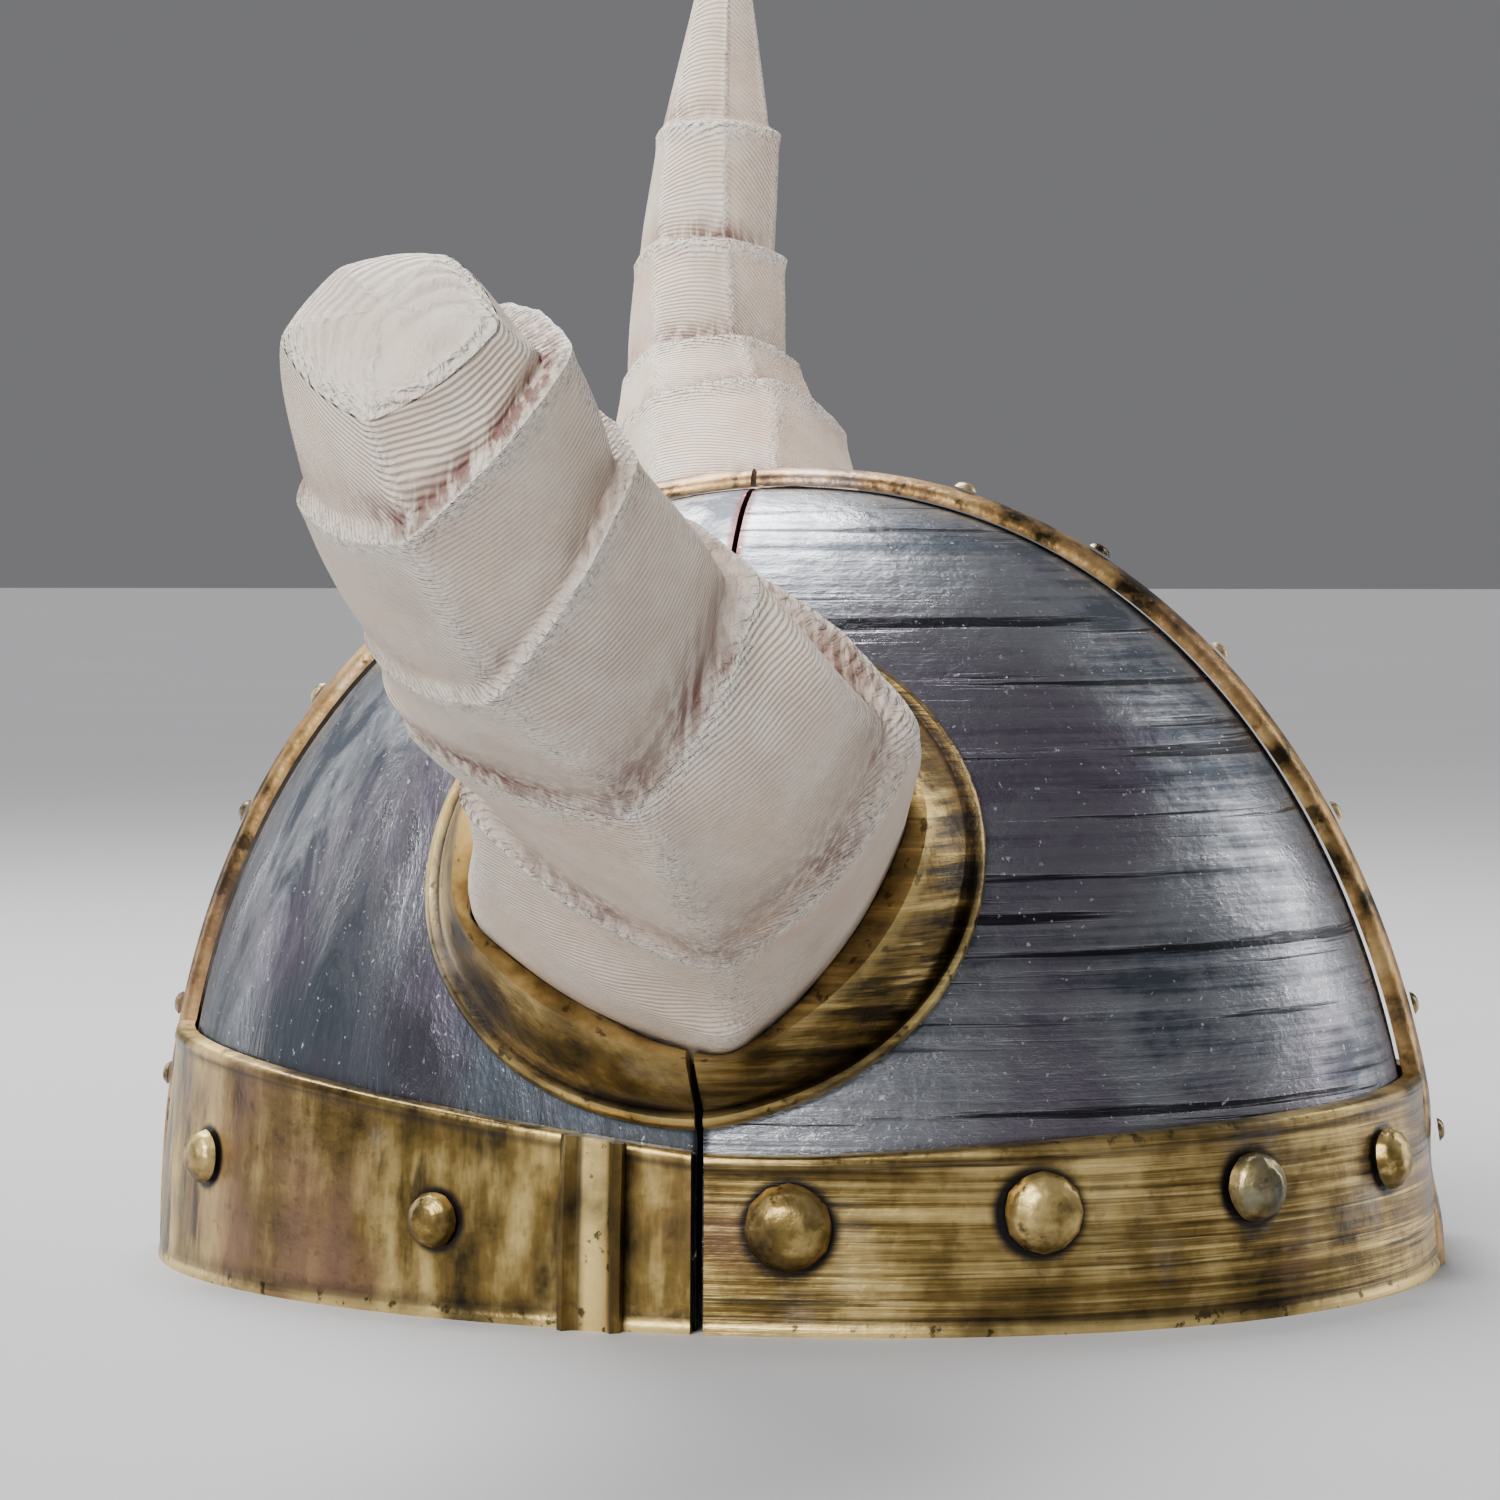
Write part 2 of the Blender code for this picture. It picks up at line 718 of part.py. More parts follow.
def horn_rings(rows):
    """Sections of the right-hand horn from its root through its growth rings to its end."""
    centre, outward, front, up = socket_axes()
    seat = horn_seat(centre, outward, front, up)
    top_of_root = SOCKET_COLLAR_RISE
    points = [centre + outward * top_of_root]
    for out, rise, back, *_ in rows:
        points.append(centre + Vector((-back * HORN_BACK, -out * HORN_OUT, rise * HORN_UP)))
    radii = [HORN_ROOT_RADIUS] + [row[3] * HORN_ROOT_RADIUS for row in rows]
    lips = [0.0] + [row[4] * HORN_LIP for row in rows]
    corners = [radians(ROOT_CORNER)] + [radians(row[5]) for row in rows]
    leans = [(0.0, 0.0)] + [row[6:8] for row in rows]

    rings = []
    for height in (seat, (seat + top_of_root) / 2, top_of_root):
        rings.append(section_ring(centre + outward * height, outward, radii[0], corners[0], 0.0))
    path = curve_through(points, (0.0, 0.3, 0.6, 0.86))
    for n, (i, t, spot) in enumerate(path):
        if n == 0:
            continue
        following = path[min(n + 1, len(path) - 1)][2]
        direction = (following - path[n - 1][2]).normalized()
        if t > 0.0:
            blend = t * t * (3 - 2 * t)
            radius = radii[i] + (radii[i + 1] - radii[i]) * t
            corner = corners[i] + (corners[i + 1] - corners[i]) * blend
            lean = [low + (high - low) * blend for low, high in zip(leans[i], leans[i + 1])]
            axis = leaning(direction, lean)
            rings.append(section_ring(spot, axis, radius, corner, lips[i] * (1 - t) ** 1.5))
            continue
        axis = leaning(direction, leans[i])
        rings.append(section_ring(spot, axis, radii[i], corners[i], 0.0))
        if 0 < i < len(points) - 1:
            step = min(HORN_LIP_STEP, (points[i + 1] - points[i]).length * 0.2)
            rings.append(section_ring(spot + direction * step, axis, radii[i], corners[i], lips[i]))
    return rings


def stump_crown(rings):
    """Adds the low crown that closes the stump's blunt end."""
    last = rings[-1]
    middle = sum(last, Vector()) / len(last)
    before = sum(rings[-2], Vector()) / len(last)
    direction = (middle - before).normalized()
    for share, rise in ((0.82, 0.62), (0.5, 0.92)):
        lift = direction * STUMP_CROWN * rise
        rings.append([middle + (point - middle) * share + lift for point in last])
    return rings


def build_horns():
    """The right horn is a blunt stump, the left one is whole."""
    stump = stump_crown(horn_rings(RINGS_LOWER + RINGS_STUMP))
    whole = horn_rings(RINGS_LOWER + RINGS_WHOLE)
    add_piece("horn_right", loft(on_side(stump, "right")), BONE)
    add_piece("horn_left", loft(on_side(whole, "left")), BONE)


def centre_on_origin():
    """Moves the whole helmet so that the middle of its footprint is the origin."""
    bpy.context.view_layer.update()
    depsgraph = bpy.context.evaluated_depsgraph_get()
    corners = []
    for piece in PARTS.objects:
        if piece.type != "MESH":
            continue
        shape = piece.evaluated_get(depsgraph)
        corners += [shape.matrix_world @ Vector(corner) for corner in shape.bound_box]
    low = Vector([min(c[i] for c in corners) for i in range(3)])
    high = Vector([max(c[i] for c in corners) for i in range(3)])
    FRAME.location = (-(low.x + high.x) / 2, -(low.y + high.y) / 2, -low.z)


clear_scene()
PARTS = make_collection("horned_helmet")
CUTTERS = make_collection("cutters")
FRAME = bpy.data.objects.new("helmet_frame", None)
PARTS.objects.link(FRAME)
build_shells()
build_bands()
build_crest()
build_rivets()
build_studs()
build_battens()
build_sockets()
build_horns()
centre_on_origin()
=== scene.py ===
"""Looks of the horned helmet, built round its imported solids."""

import logging
import math
from dataclasses import dataclass
from enum import Enum
from typing import Callable, Sequence, Union

import bmesh
import bpy
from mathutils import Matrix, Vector


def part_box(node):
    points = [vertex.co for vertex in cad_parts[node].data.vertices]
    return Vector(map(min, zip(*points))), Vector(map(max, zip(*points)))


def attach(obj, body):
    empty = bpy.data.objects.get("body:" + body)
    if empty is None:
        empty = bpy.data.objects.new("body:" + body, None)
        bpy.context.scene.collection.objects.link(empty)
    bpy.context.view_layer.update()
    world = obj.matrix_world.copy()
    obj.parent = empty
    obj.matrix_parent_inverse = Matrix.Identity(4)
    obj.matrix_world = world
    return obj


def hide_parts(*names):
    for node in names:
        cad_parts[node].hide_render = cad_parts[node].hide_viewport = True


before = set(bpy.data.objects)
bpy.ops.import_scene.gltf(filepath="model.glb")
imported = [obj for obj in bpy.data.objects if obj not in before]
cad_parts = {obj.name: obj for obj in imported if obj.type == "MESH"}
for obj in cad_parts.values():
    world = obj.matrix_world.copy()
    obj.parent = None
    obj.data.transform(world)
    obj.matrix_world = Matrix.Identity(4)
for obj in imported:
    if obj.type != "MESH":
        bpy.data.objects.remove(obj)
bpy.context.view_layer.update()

logger = logging.getLogger("horned_helmet")

Socket = bpy.types.NodeSocket
Triple = tuple[float, float, float]
Number = Union[float, Socket]
Colour = Union[Triple, Socket]


class Side(Enum):
    """Side of the helmet, as its wearer has it."""

    RIGHT = "right"
    LEFT = "left"

    @property
    def sign(self) -> float:
        """Sign of Y on this side."""
        return -1.0 if self is Side.RIGHT else 1.0


class End(Enum):
    """Half of the helmet, ahead of the seam or behind it."""

    FRONT = "front"
    REAR = "rear"


@dataclass(frozen=True)
class Layout:
    """Where the helmet stands and the sizes that several of its pieces share."""

    seam_x: float = -0.0068
    middle_y: float = -0.012476
    half_length: float = 0.1133
    half_width: float = 0.0920
    centre_x: float = 0.0068
    band_side: float = 0.0287
    band_front: float = 0.0345
    band_back: float = 0.042
    socket_centre: Triple = (-0.0015, -0.0777, 0.0770)
    socket_tilt: float = 24.0
    socket_along: float = 0.0487
    socket_up: float = 0.0452
    horn_root: float = 0.0371
    root_corner: float = -78.0

    def local(self, point: Vector) -> Vector:
        """Turns a place in the scene into one in the helmet's own frame.

        Args:
            point: place in the scene.

        Returns:
            The place, counted from the seam and the middle.
        """
        return Vector((point.x - self.seam_x, point.y - self.middle_y, point.z))

    def placed(self, point: Vector) -> Vector:
        """Turns a place in the helmet's own frame into one in the scene.

        Args:
            point: place in the helmet's own frame.

        Returns:
            The place in the scene.
        """
        return Vector((point.x + self.seam_x, point.y + self.middle_y, point.z))

    def band_height(self, point: Vector) -> float:
        """Height of the brow band beside a place.

        Args:
            point: place in the helmet's own frame.

        Returns:
            Height of the band's top.
        """
        along = (point.x - self.centre_x) / self.half_length
        across = point.y / self.half_width
        cosine = along / max(1e-6, math.hypot(along, across))
        end = self.band_front if cosine > 0 else self.band_back
        return self.band_side + (end - self.band_side) * abs(cosine)

    def outward(self) -> Vector:
        """Direction in which the right-hand socket faces."""
        tilt = math.radians(self.socket_tilt)
        return Vector((0.0, -math.cos(tilt), math.sin(tilt)))


LAYOUT = Layout()


class Graph:
    """Wires the nodes of one material."""

    def __init__(self, name: str) -> None:
        """Starts a material with a shader and the piece's own coordinates.

        Args:
            name: name of the material.
        """
        self.material = bpy.data.materials.new(name)
        self.material.use_nodes = True
        self.tree = self.material.node_tree
        self.tree.nodes.clear()
        self.shader = self.tree.nodes.new("ShaderNodeBsdfPrincipled")
        output = self.tree.nodes.new("ShaderNodeOutputMaterial")
        self.tree.links.new(self.shader.outputs[0], output.inputs[0])
        coordinates = self.tree.nodes.new("ShaderNodeTexCoord")
        centred = self.tree.nodes.new("ShaderNodeMapping")
        centred.inputs["Location"].default_value = (-LAYOUT.seam_x, -LAYOUT.middle_y, 0.0)
        self.tree.links.new(coordinates.outputs["Object"], centred.inputs["Vector"])
        self.place = centred.outputs["Vector"]
        split = self.tree.nodes.new("ShaderNodeSeparateXYZ")
        self.tree.links.new(self.place, split.inputs[0])
        self.x, self.y, self.z = split.outputs[0], split.outputs[1], split.outputs[2]

    def feed(self, socket: Socket, value: Union[Number, Colour]) -> None:
        """Links a socket to another one, or sets its value.

        Args:
            socket: input to feed.
            value: another node's output, a number or a colour.
        """
        if isinstance(value, Socket):
            self.tree.links.new(value, socket)
        elif isinstance(value, tuple) and len(value) == 3 and socket.type == "RGBA":
            socket.default_value = (*value, 1.0)
        else:
            socket.default_value = value

    def noise(self, stretch: Sequence[float], detail: float = 4.0, rough: float = 0.55,
              shift: float = 0.0, warp: float = 0.0) -> Socket:
        """Clouded pattern.

        Args:
            stretch: clouds to the metre along X, Y and Z.
            detail: how many finer layers it has.
            rough: how strong the finer layers are.
            shift: moves the pattern, so that no two are alike.
            warp: how far the pattern swirls.

        Returns:
            Value from 0 to 1.
        """
        mapping = self.tree.nodes.new("ShaderNodeMapping")
        mapping.inputs["Scale"].default_value = tuple(stretch)
        mapping.inputs["Location"].default_value = (shift, shift * 0.7, -shift)
        self.tree.links.new(self.place, mapping.inputs["Vector"])
        clouds = self.tree.nodes.new("ShaderNodeTexNoise")
        clouds.inputs["Scale"].default_value = 1.0
        clouds.inputs["Detail"].default_value = detail
        clouds.inputs["Roughness"].default_value = rough
        clouds.inputs["Distortion"].default_value = warp
        self.tree.links.new(mapping.outputs[0], clouds.inputs["Vector"])
        return clouds.outputs["Fac"]

    def sums(self, operation: str, first: Number, second: Number = 0.0,
             third: Number = 0.0) -> Socket:
        """Arithmetic on one, two or three values.

        Args:
            operation: name of the arithmetic, as Blender has it.
            first: first value.
            second: second value.
            third: third value, where the arithmetic has one.

        Returns:
            The result.
        """
        node = self.tree.nodes.new("ShaderNodeMath")
        node.operation = operation
        for socket, value in zip(node.inputs, (first, second, third)):
            self.feed(socket, value)
        return node.outputs[0]

    def span(self, value: Number, low: float, high: float, start: float = 0.0,
             stop: float = 1.0) -> Socket:
        """Spreads a stretch of values over another one, eased in and out.

        Args:
            value: value to spread.
            low: lower end of its stretch.
            high: upper end of its stretch.
            start: result at the lower end.
            stop: result at the upper end.

        Returns:
            The spread value.
        """
        node = self.tree.nodes.new("ShaderNodeMapRange")
        node.interpolation_type = "SMOOTHSTEP"
        for i, number in enumerate((value, low, high, start, stop)):
            self.feed(node.inputs[i], number)
        return node.outputs[0]

    def ramp(self, value: Number,
             stops: Sequence[tuple[float, Triple]]) -> Socket:
        """Colours along a value.

        Args:
            value: place on the ramp, from 0 to 1.
            stops: places and their colours.

        Returns:
            The colour.
        """
        node = self.tree.nodes.new("ShaderNodeValToRGB")
        elements = node.color_ramp.elements
        while len(elements) < len(stops):
            elements.new(0.5)
        for element, (spot, colour) in zip(elements, stops):
            element.position = spot
            element.color = (*colour, 1.0)
        self.feed(node.inputs[0], value)
        return node.outputs[0]

    def blend(self, share: Number, under: Colour, over: Colour) -> Socket:
        """Lays one colour over another.

        Args:
            share: how much of the upper colour shows.
            under: lower colour.
            over: upper colour.

        Returns:
            The mixed colour.
        """
        node = self.tree.nodes.new("ShaderNodeMix")
        node.data_type = "RGBA"
        self.feed(node.inputs[0], share)
        self.feed(node.inputs[6], under)
        self.feed(node.inputs[7], over)
        return node.outputs[2]

    def attribute(self, name: str) -> Socket:
        """Value that is kept with the piece's mesh.

        Args:
            name: name of the value.

        Returns:
            The value.
        """
        node = self.tree.nodes.new("ShaderNodeAttribute")
        node.attribute_name = name
        return node.outputs["Fac"]

    def along(self, direction: Vector) -> Socket:
        """Distance along a direction.

        Args:
            direction: unit direction.

        Returns:
            The distance in metres.
        """
        node = self.tree.nodes.new("ShaderNodeVectorMath")
        node.operation = "DOT_PRODUCT"
        self.tree.links.new(self.place, node.inputs[0])
        node.inputs[1].default_value = tuple(direction)
        return node.outputs["Value"]

    def away(self, spot: Sequence[float]) -> Socket:
        """Distance from a place on the left side or from its twin on the right side.

        Args:
            spot: the place on the left side.

        Returns:
            The distance in metres.
        """
        twin = self.tree.nodes.new("ShaderNodeCombineXYZ")
        self.tree.links.new(self.x, twin.inputs[0])
        self.tree.links.new(self.sums("ABSOLUTE", self.y), twin.inputs[1])
        self.tree.links.new(self.z, twin.inputs[2])
        node = self.tree.nodes.new("ShaderNodeVectorMath")
        node.operation = "DISTANCE"
        self.tree.links.new(twin.outputs[0], node.inputs[0])
        node.inputs[1].default_value = tuple(spot)
        return node.outputs["Value"]

    def relief(self, height: Number, depth: float,
               over: Union[Socket, None] = None) -> Socket:
        """Raises the surface.

        Args:
            height: pattern of the relief, from 0 to 1.
            depth: its depth in metres.
            over: relief that this one is laid over.

        Returns:
            The turned normal.
        """
        node = self.tree.nodes.new("ShaderNodeBump")
        node.inputs["Strength"].default_value = 1.0
        node.inputs["Distance"].default_value = depth
        self.feed(node.inputs["Height"], height)
        if over is not None:
            self.tree.links.new(over, node.inputs["Normal"])
        return node.outputs[0]

    def finish(self, colour: Colour, roughness: Number, metallic: Number,
               normal: Union[Socket, None] = None) -> bpy.types.Material:
        """Joins the patterns to the shader.

        Args:
            colour: base colour.
            roughness: roughness.
            metallic: how metallic the paint is.
            normal: relief.

        Returns:
            The material.
        """
        self.feed(self.shader.inputs["Base Color"], colour)
        self.feed(self.shader.inputs["Roughness"], roughness)
        self.feed(self.shader.inputs["Metallic"], metallic)
        if normal is not None:
            self.tree.links.new(normal, self.shader.inputs["Normal"])
        return self.material


@dataclass(frozen=True)
class SilverPaint:
    """Silver paint with dark blue patches, darker towards the bottom at the back: printed lines in
    front, smooth blotches at the back; painted shadow beside the crest and painted shade along the
    seam.
    """

    end: End
    bright: Triple = (0.43, 0.445, 0.475)
    middle: Triple = (0.25, 0.262, 0.285)
    dark: Triple = (0.065, 0.078, 0.098)
    violet: Triple = (0.15, 0.105, 0.155)
    # Near black, for the printed score lines and for the painted shadow beside the crest and the
    # painted shade in the seam.
    dark_and_shade: Triple = (0.010, 0.010, 0.016)
    oxblood: Triple = (0.10, 0.014, 0.014)
    fleck: Triple = (0.75, 0.76, 0.80)
    crest_shadow: float = 0.0105
    seam_shadow: float = 0.0022
    over_band: tuple[float, float] = (0.036, 0.046)
    under_top: tuple[float, float] = (0.104, 0.124)
    red_heights: tuple[float, float] = (0.112, 0.124)
    darkening_heights: tuple[float, float] = (0.040, 0.078)
    metallic: float = 0.92

    def build(self) -> bpy.types.Material:
        """Makes the material."""
        graph = Graph(f"silver_paint_{self.end.value}")
        if self.end is End.FRONT:
            streaks = graph.noise((9, 9, 480), detail=6, rough=0.66)
            clouds = graph.noise((24, 24, 40), detail=8, rough=0.70, shift=3.1)
            lines = graph.noise((4, 4, 210), detail=5, rough=0.66, shift=7.7)
            tone = graph.sums("ADD", graph.sums("MULTIPLY", streaks, 0.42),
                              graph.sums("MULTIPLY", clouds, 0.58))
            scores = graph.span(lines, 0.55, 0.605)
            depth, rough_low, rough_high = 0.00024, 0.24, 0.44
            low_darkening = 0.0
        else:
            streaks = graph.noise((75, 75, 20), detail=7, rough=0.66, warp=1.1)
            clouds = graph.noise((40, 40, 16), detail=7, rough=0.66, shift=1.3)
            lines = graph.noise((3, 3, 120), detail=2, rough=0.5, shift=5.2)
            tone = graph.sums("ADD", graph.sums("MULTIPLY", streaks, 0.62),
                              graph.sums("MULTIPLY", clouds, 0.38))
            scores = graph.span(lines, 0.72, 0.76)
            depth, rough_low, rough_high = 0.0007, 0.24, 0.50
            low_darkening = 0.75
        colour = graph.ramp(tone, ((0.42, self.dark), (0.50, self.middle), (0.60, self.bright)))
        # Darker towards the bottom, at the back only.
        darker_low = graph.span(graph.z, *self.darkening_heights, low_darkening, 0.0)
        colour = graph.blend(darker_low, colour, self.dark)
        stain = graph.span(graph.noise((18, 18, 12), detail=5, shift=9.4), 0.50, 0.64)
        colour = graph.blend(graph.sums("MULTIPLY", stain, 0.5), colour, self.violet)
        colour = graph.blend(graph.sums("MULTIPLY", scores, 0.9), colour, self.dark_and_shade)
        # Painted shadow: a near-black strip beside the crest, from just above the band, weaker near
        # the top.
        beside_crest = graph.sums("ABSOLUTE", graph.y)
        wobble = graph.sums("MULTIPLY", graph.noise((40, 40, 40), shift=2.0), 0.003)
        edge = graph.sums("ADD", beside_crest, wobble)
        shadow = graph.span(edge, self.crest_shadow, self.crest_shadow + 0.002, 0.94, 0.0)
        high = graph.sums("MULTIPLY", graph.span(graph.z, *self.over_band),
                          graph.span(graph.z, *self.under_top, 1.0, 0.35))
        colour = graph.blend(graph.sums("MULTIPLY", shadow, high), colour, self.dark_and_shade)
        # Painted shade: a dark line along the seam between the halves, turning oxblood red near the
        # top.
        beside_seam = graph.sums("ABSOLUTE", graph.x)
        seam_shade_and_red = graph.span(beside_seam, 0.0008, self.seam_shadow, 0.9, 0.0)
        hollow_shade = graph.blend(graph.span(graph.z, *self.red_heights), self.dark_and_shade, self.oxblood)
        colour = graph.blend(seam_shade_and_red, colour, hollow_shade)
        flecks = graph.span(graph.noise((800, 800, 800), detail=2, shift=4.0), 0.685, 0.72)
        colour = graph.blend(graph.sums("MULTIPLY", flecks, 0.6), colour, self.fleck)
        rough = graph.span(tone, 0.40, 0.60, rough_high, rough_low)
        relief = graph.relief(streaks, depth)
        relief = graph.relief(graph.sums("SUBTRACT", 1.0, scores), 0.00022, relief)
        relief = graph.relief(clouds, 0.0011, relief)
        return graph.finish(colour, rough, self.metallic, relief)


@dataclass(frozen=True)
class GoldPaint:
    """Antique gold paint, with painted shade in its hollows and round the rivets."""

    name: str
    stretch: Triple = (11, 11, 620)
    bright: Triple = (0.86, 0.64, 0.25)
    middle: Triple = (0.21, 0.135, 0.036)
    dark: Triple = (0.034, 0.024, 0.010)
    copper: Triple = (0.34, 0.19, 0.125)
    pale: Triple = (0.42, 0.40, 0.40)
    # Near black, for painted shade.
    dark_and_shade: Triple = (0.020, 0.017, 0.018)
    lumps: float = 0.0004
    pale_share: float = 0.35
    copper_share: float = 0.6
    gleam_share: float = 0.7
    rough: float = 0.34
    metallic: float = 0.90
    rivets: tuple[tuple[float, float, float, float], ...] = ()

    def build(self) -> bpy.types.Material:
        """Makes the material."""
        graph = Graph(self.name)
        streaks = graph.noise(self.stretch, detail=6, rough=0.62)
        clouds = graph.noise((34, 34, 34), detail=5, rough=0.6, shift=2.3)
        tone = graph.sums("ADD", graph.sums("MULTIPLY", streaks, 0.5),
                          graph.sums("MULTIPLY", clouds, 0.5))
        colour = graph.ramp(tone, ((0.41, self.dark), (0.50, self.middle), (0.64, self.bright)))
        warm = graph.span(graph.noise((22, 22, 14), detail=4, shift=6.1), 0.50, 0.66)
        colour = graph.blend(graph.sums("MULTIPLY", warm, self.copper_share), colour, self.copper)
        light = graph.span(graph.noise((30, 30, 20), detail=5, shift=11.0), 0.56, 0.70)
        colour = graph.blend(graph.sums("MULTIPLY", light, self.pale_share), colour, self.pale)
        fine = graph.noise(tuple(side * 1.3 for side in self.stretch), detail=4, shift=14.0)
        gleam = graph.sums("MULTIPLY", graph.span(fine, 0.57, 0.66, 0.0, self.gleam_share),
                           graph.span(clouds, 0.40, 0.58))
        colour = graph.blend(gleam, colour, self.bright)
        scratch = graph.noise(tuple(side * 0.9 for side in self.stretch), detail=5, shift=21.0)
        colour = graph.blend(graph.span(scratch, 0.60, 0.66, 0.0, 0.85), colour, self.dark)
        # Painted brighter on the edge places: edge wear, with painted highlights on the band's top
        # lip, the rivets' tops and the sockets' beads.
        edge = graph.attribute("edge")
        wear_and_highlight = graph.sums("MULTIPLY", edge, graph.span(clouds, 0.36, 0.56, 0.15, 0.85))
        colour = graph.blend(wear_and_highlight, colour, self.bright)
        pits = graph.span(graph.noise((330, 330, 330), detail=4, shift=8.0), 0.58, 0.66)
        colour = graph.blend(graph.sums("MULTIPLY", pits, graph.span(edge, 0.0, 0.6, 0.25, 0.85)),
                             colour, self.dark)
        # Painted shade in the hollows, in the gap round each horn and in a ring round each rivet.
        hollow = graph.attribute("hollow")
        for place in self.rivets:
            ring = graph.span(graph.away(place[:3]), place[3] * 1.08, place[3] * 1.36, 1.0, 0.0)
            hollow = graph.sums("MAXIMUM", hollow, ring)
        hollow_shade = graph.sums("MULTIPLY", hollow, graph.span(clouds, 0.25, 0.6, 0.75, 1.0))
        colour = graph.blend(hollow_shade, colour, self.dark_and_shade)
        rough = graph.span(clouds, 0.3, 0.7, self.rough - 0.08, self.rough + 0.12)
        relief = graph.relief(streaks, 0.00030)
        relief = graph.relief(clouds, self.lumps, relief)
        relief = graph.relief(graph.noise((420, 420, 420), detail=3, shift=1.0), 0.00014, relief)
        return graph.finish(colour, rough, self.metallic, relief)


@dataclass(frozen=True)
class BonePaint:
    """Bone paint: warm ground, white ridges, reddish-brown valleys and fine printed layers."""

    name: str
    side: Side
    ground: Triple = (0.85, 0.685, 0.535)
    grey: Triple = (0.72, 0.595, 0.49)
    white: Triple = (0.95, 0.87, 0.76)
    peach: Triple = (0.86, 0.63, 0.48)
    pigment: Triple = (0.20, 0.085, 0.065)
    thread: Triple = (0.30, 0.20, 0.17)
    layer: float = 0.00072

    def build(self) -> bpy.types.Material:
        """Makes the material."""
        graph = Graph(self.name)
        outward = LAYOUT.outward()
        outward.y *= -self.side.sign
        distance = graph.along(outward)
        waver = graph.sums("MULTIPLY", graph.noise((45, 45, 45), detail=3, shift=3.0), 0.0026)
        layers = graph.sums("DIVIDE", graph.sums("ADD", distance, waver), self.layer)
        wave = graph.sums("SINE", graph.sums("MULTIPLY", layers, 2 * math.pi))
        threads = graph.sums("MULTIPLY_ADD", wave, 0.5, 0.5)
        clouds = graph.noise((26, 26, 26), detail=5, rough=0.6)
        mottle = graph.noise((90, 90, 90), detail=5, rough=0.65, shift=5.0)
        colour = graph.ramp(clouds, ((0.36, self.grey), (0.52, self.ground), (0.66, self.peach)))
        colour = graph.blend(graph.span(mottle, 0.4, 0.65, 0.0, 0.4), colour, self.white)
        groove = graph.span(threads, 0.0, 0.45, 0.62, 0.0)
        faded = graph.span(graph.noise((38, 38, 38), detail=4, shift=9.0), 0.38, 0.62)
        uneven = graph.span(graph.noise((7, 7, 7), detail=1, shift=4.4), 0.35, 0.6, 0.55, 1.0)
        dark_thread = graph.sums("MULTIPLY", graph.sums("MULTIPLY", groove, faded), uneven)
        colour = graph.blend(dark_thread, colour, self.thread)
        ridge = graph.attribute("ridge")
        brushed = graph.sums("MULTIPLY", ridge, graph.span(mottle, 0.3, 0.6, 0.45, 1.0))
        colour = graph.blend(brushed, colour, self.white)
        valley = graph.attribute("valley")
        ticks = graph.noise((700, 700, 60), detail=3, rough=0.6, shift=12.0)
        patches = graph.span(graph.noise((30, 30, 30), detail=4, shift=7.0), 0.36, 0.62)
        broken = graph.sums("MULTIPLY", graph.span(ticks, 0.36, 0.58), patches)
        stain = graph.sums("MULTIPLY", valley,
                           graph.sums("ADD", graph.sums("MULTIPLY", broken, 0.9), 0.14))
        colour = graph.blend(stain, colour, self.pigment)
        relief = graph.relief(threads, 0.00030)
        worms = graph.noise((420, 420, 420), detail=2, rough=0.5, shift=2.2, warp=2.4)
        squiggles = graph.sums("MULTIPLY", worms, graph.sums("ADD", ridge, 0.08))
        relief = graph.relief(squiggles, 0.0011, relief)
        relief = graph.relief(clouds, 0.0010, relief)
        return graph.finish(colour, graph.span(mottle, 0.3, 0.7, 0.5, 0.68), 0.0, relief)


@dataclass(frozen=True)
class StudioFloor:
    """Plain pale matt floor."""

    colour: Triple = (0.45, 0.45, 0.46)

    def build(self) -> bpy.types.Material:
        """Makes the material."""
        graph = Graph("studio_floor")
        clouds = graph.noise((3, 3, 3), detail=3)
        pale = tuple(channel * 1.04 for channel in self.colour)
        tone = graph.ramp(clouds, ((0.3, self.colour), (0.7, pale)))
        return graph.finish(tone, 0.7, 0.0)


def only(piece: bpy.types.Object) -> None:
    """Selects one piece and nothing else.

    Args:
        piece: the piece.
    """
    bpy.ops.object.select_all(action="DESELECT")
    piece.select_set(True)
    bpy.context.view_layer.objects.active = piece


def dress(piece: bpy.types.Object, material: bpy.types.Material) -> None:
    """Gives a piece one material.

    Args:
        piece: the piece.
        material: its paint.
    """
    piece.data.materials.clear()
    piece.data.materials.append(material)


def keep_value(piece: bpy.types.Object, name: str, rule: Callable[[Vector], float]) -> None:
    """Keeps a value with each point of a piece.

    Args:
        piece: the piece.
        name: name of the value.
        rule: gives the value at a place in the helmet's own frame.
    """
    store = piece.data.attributes.new(name, "FLOAT", "POINT")
    for i, vertex in enumerate(piece.data.vertices):
        store.data[i].value = rule(LAYOUT.local(vertex.co))


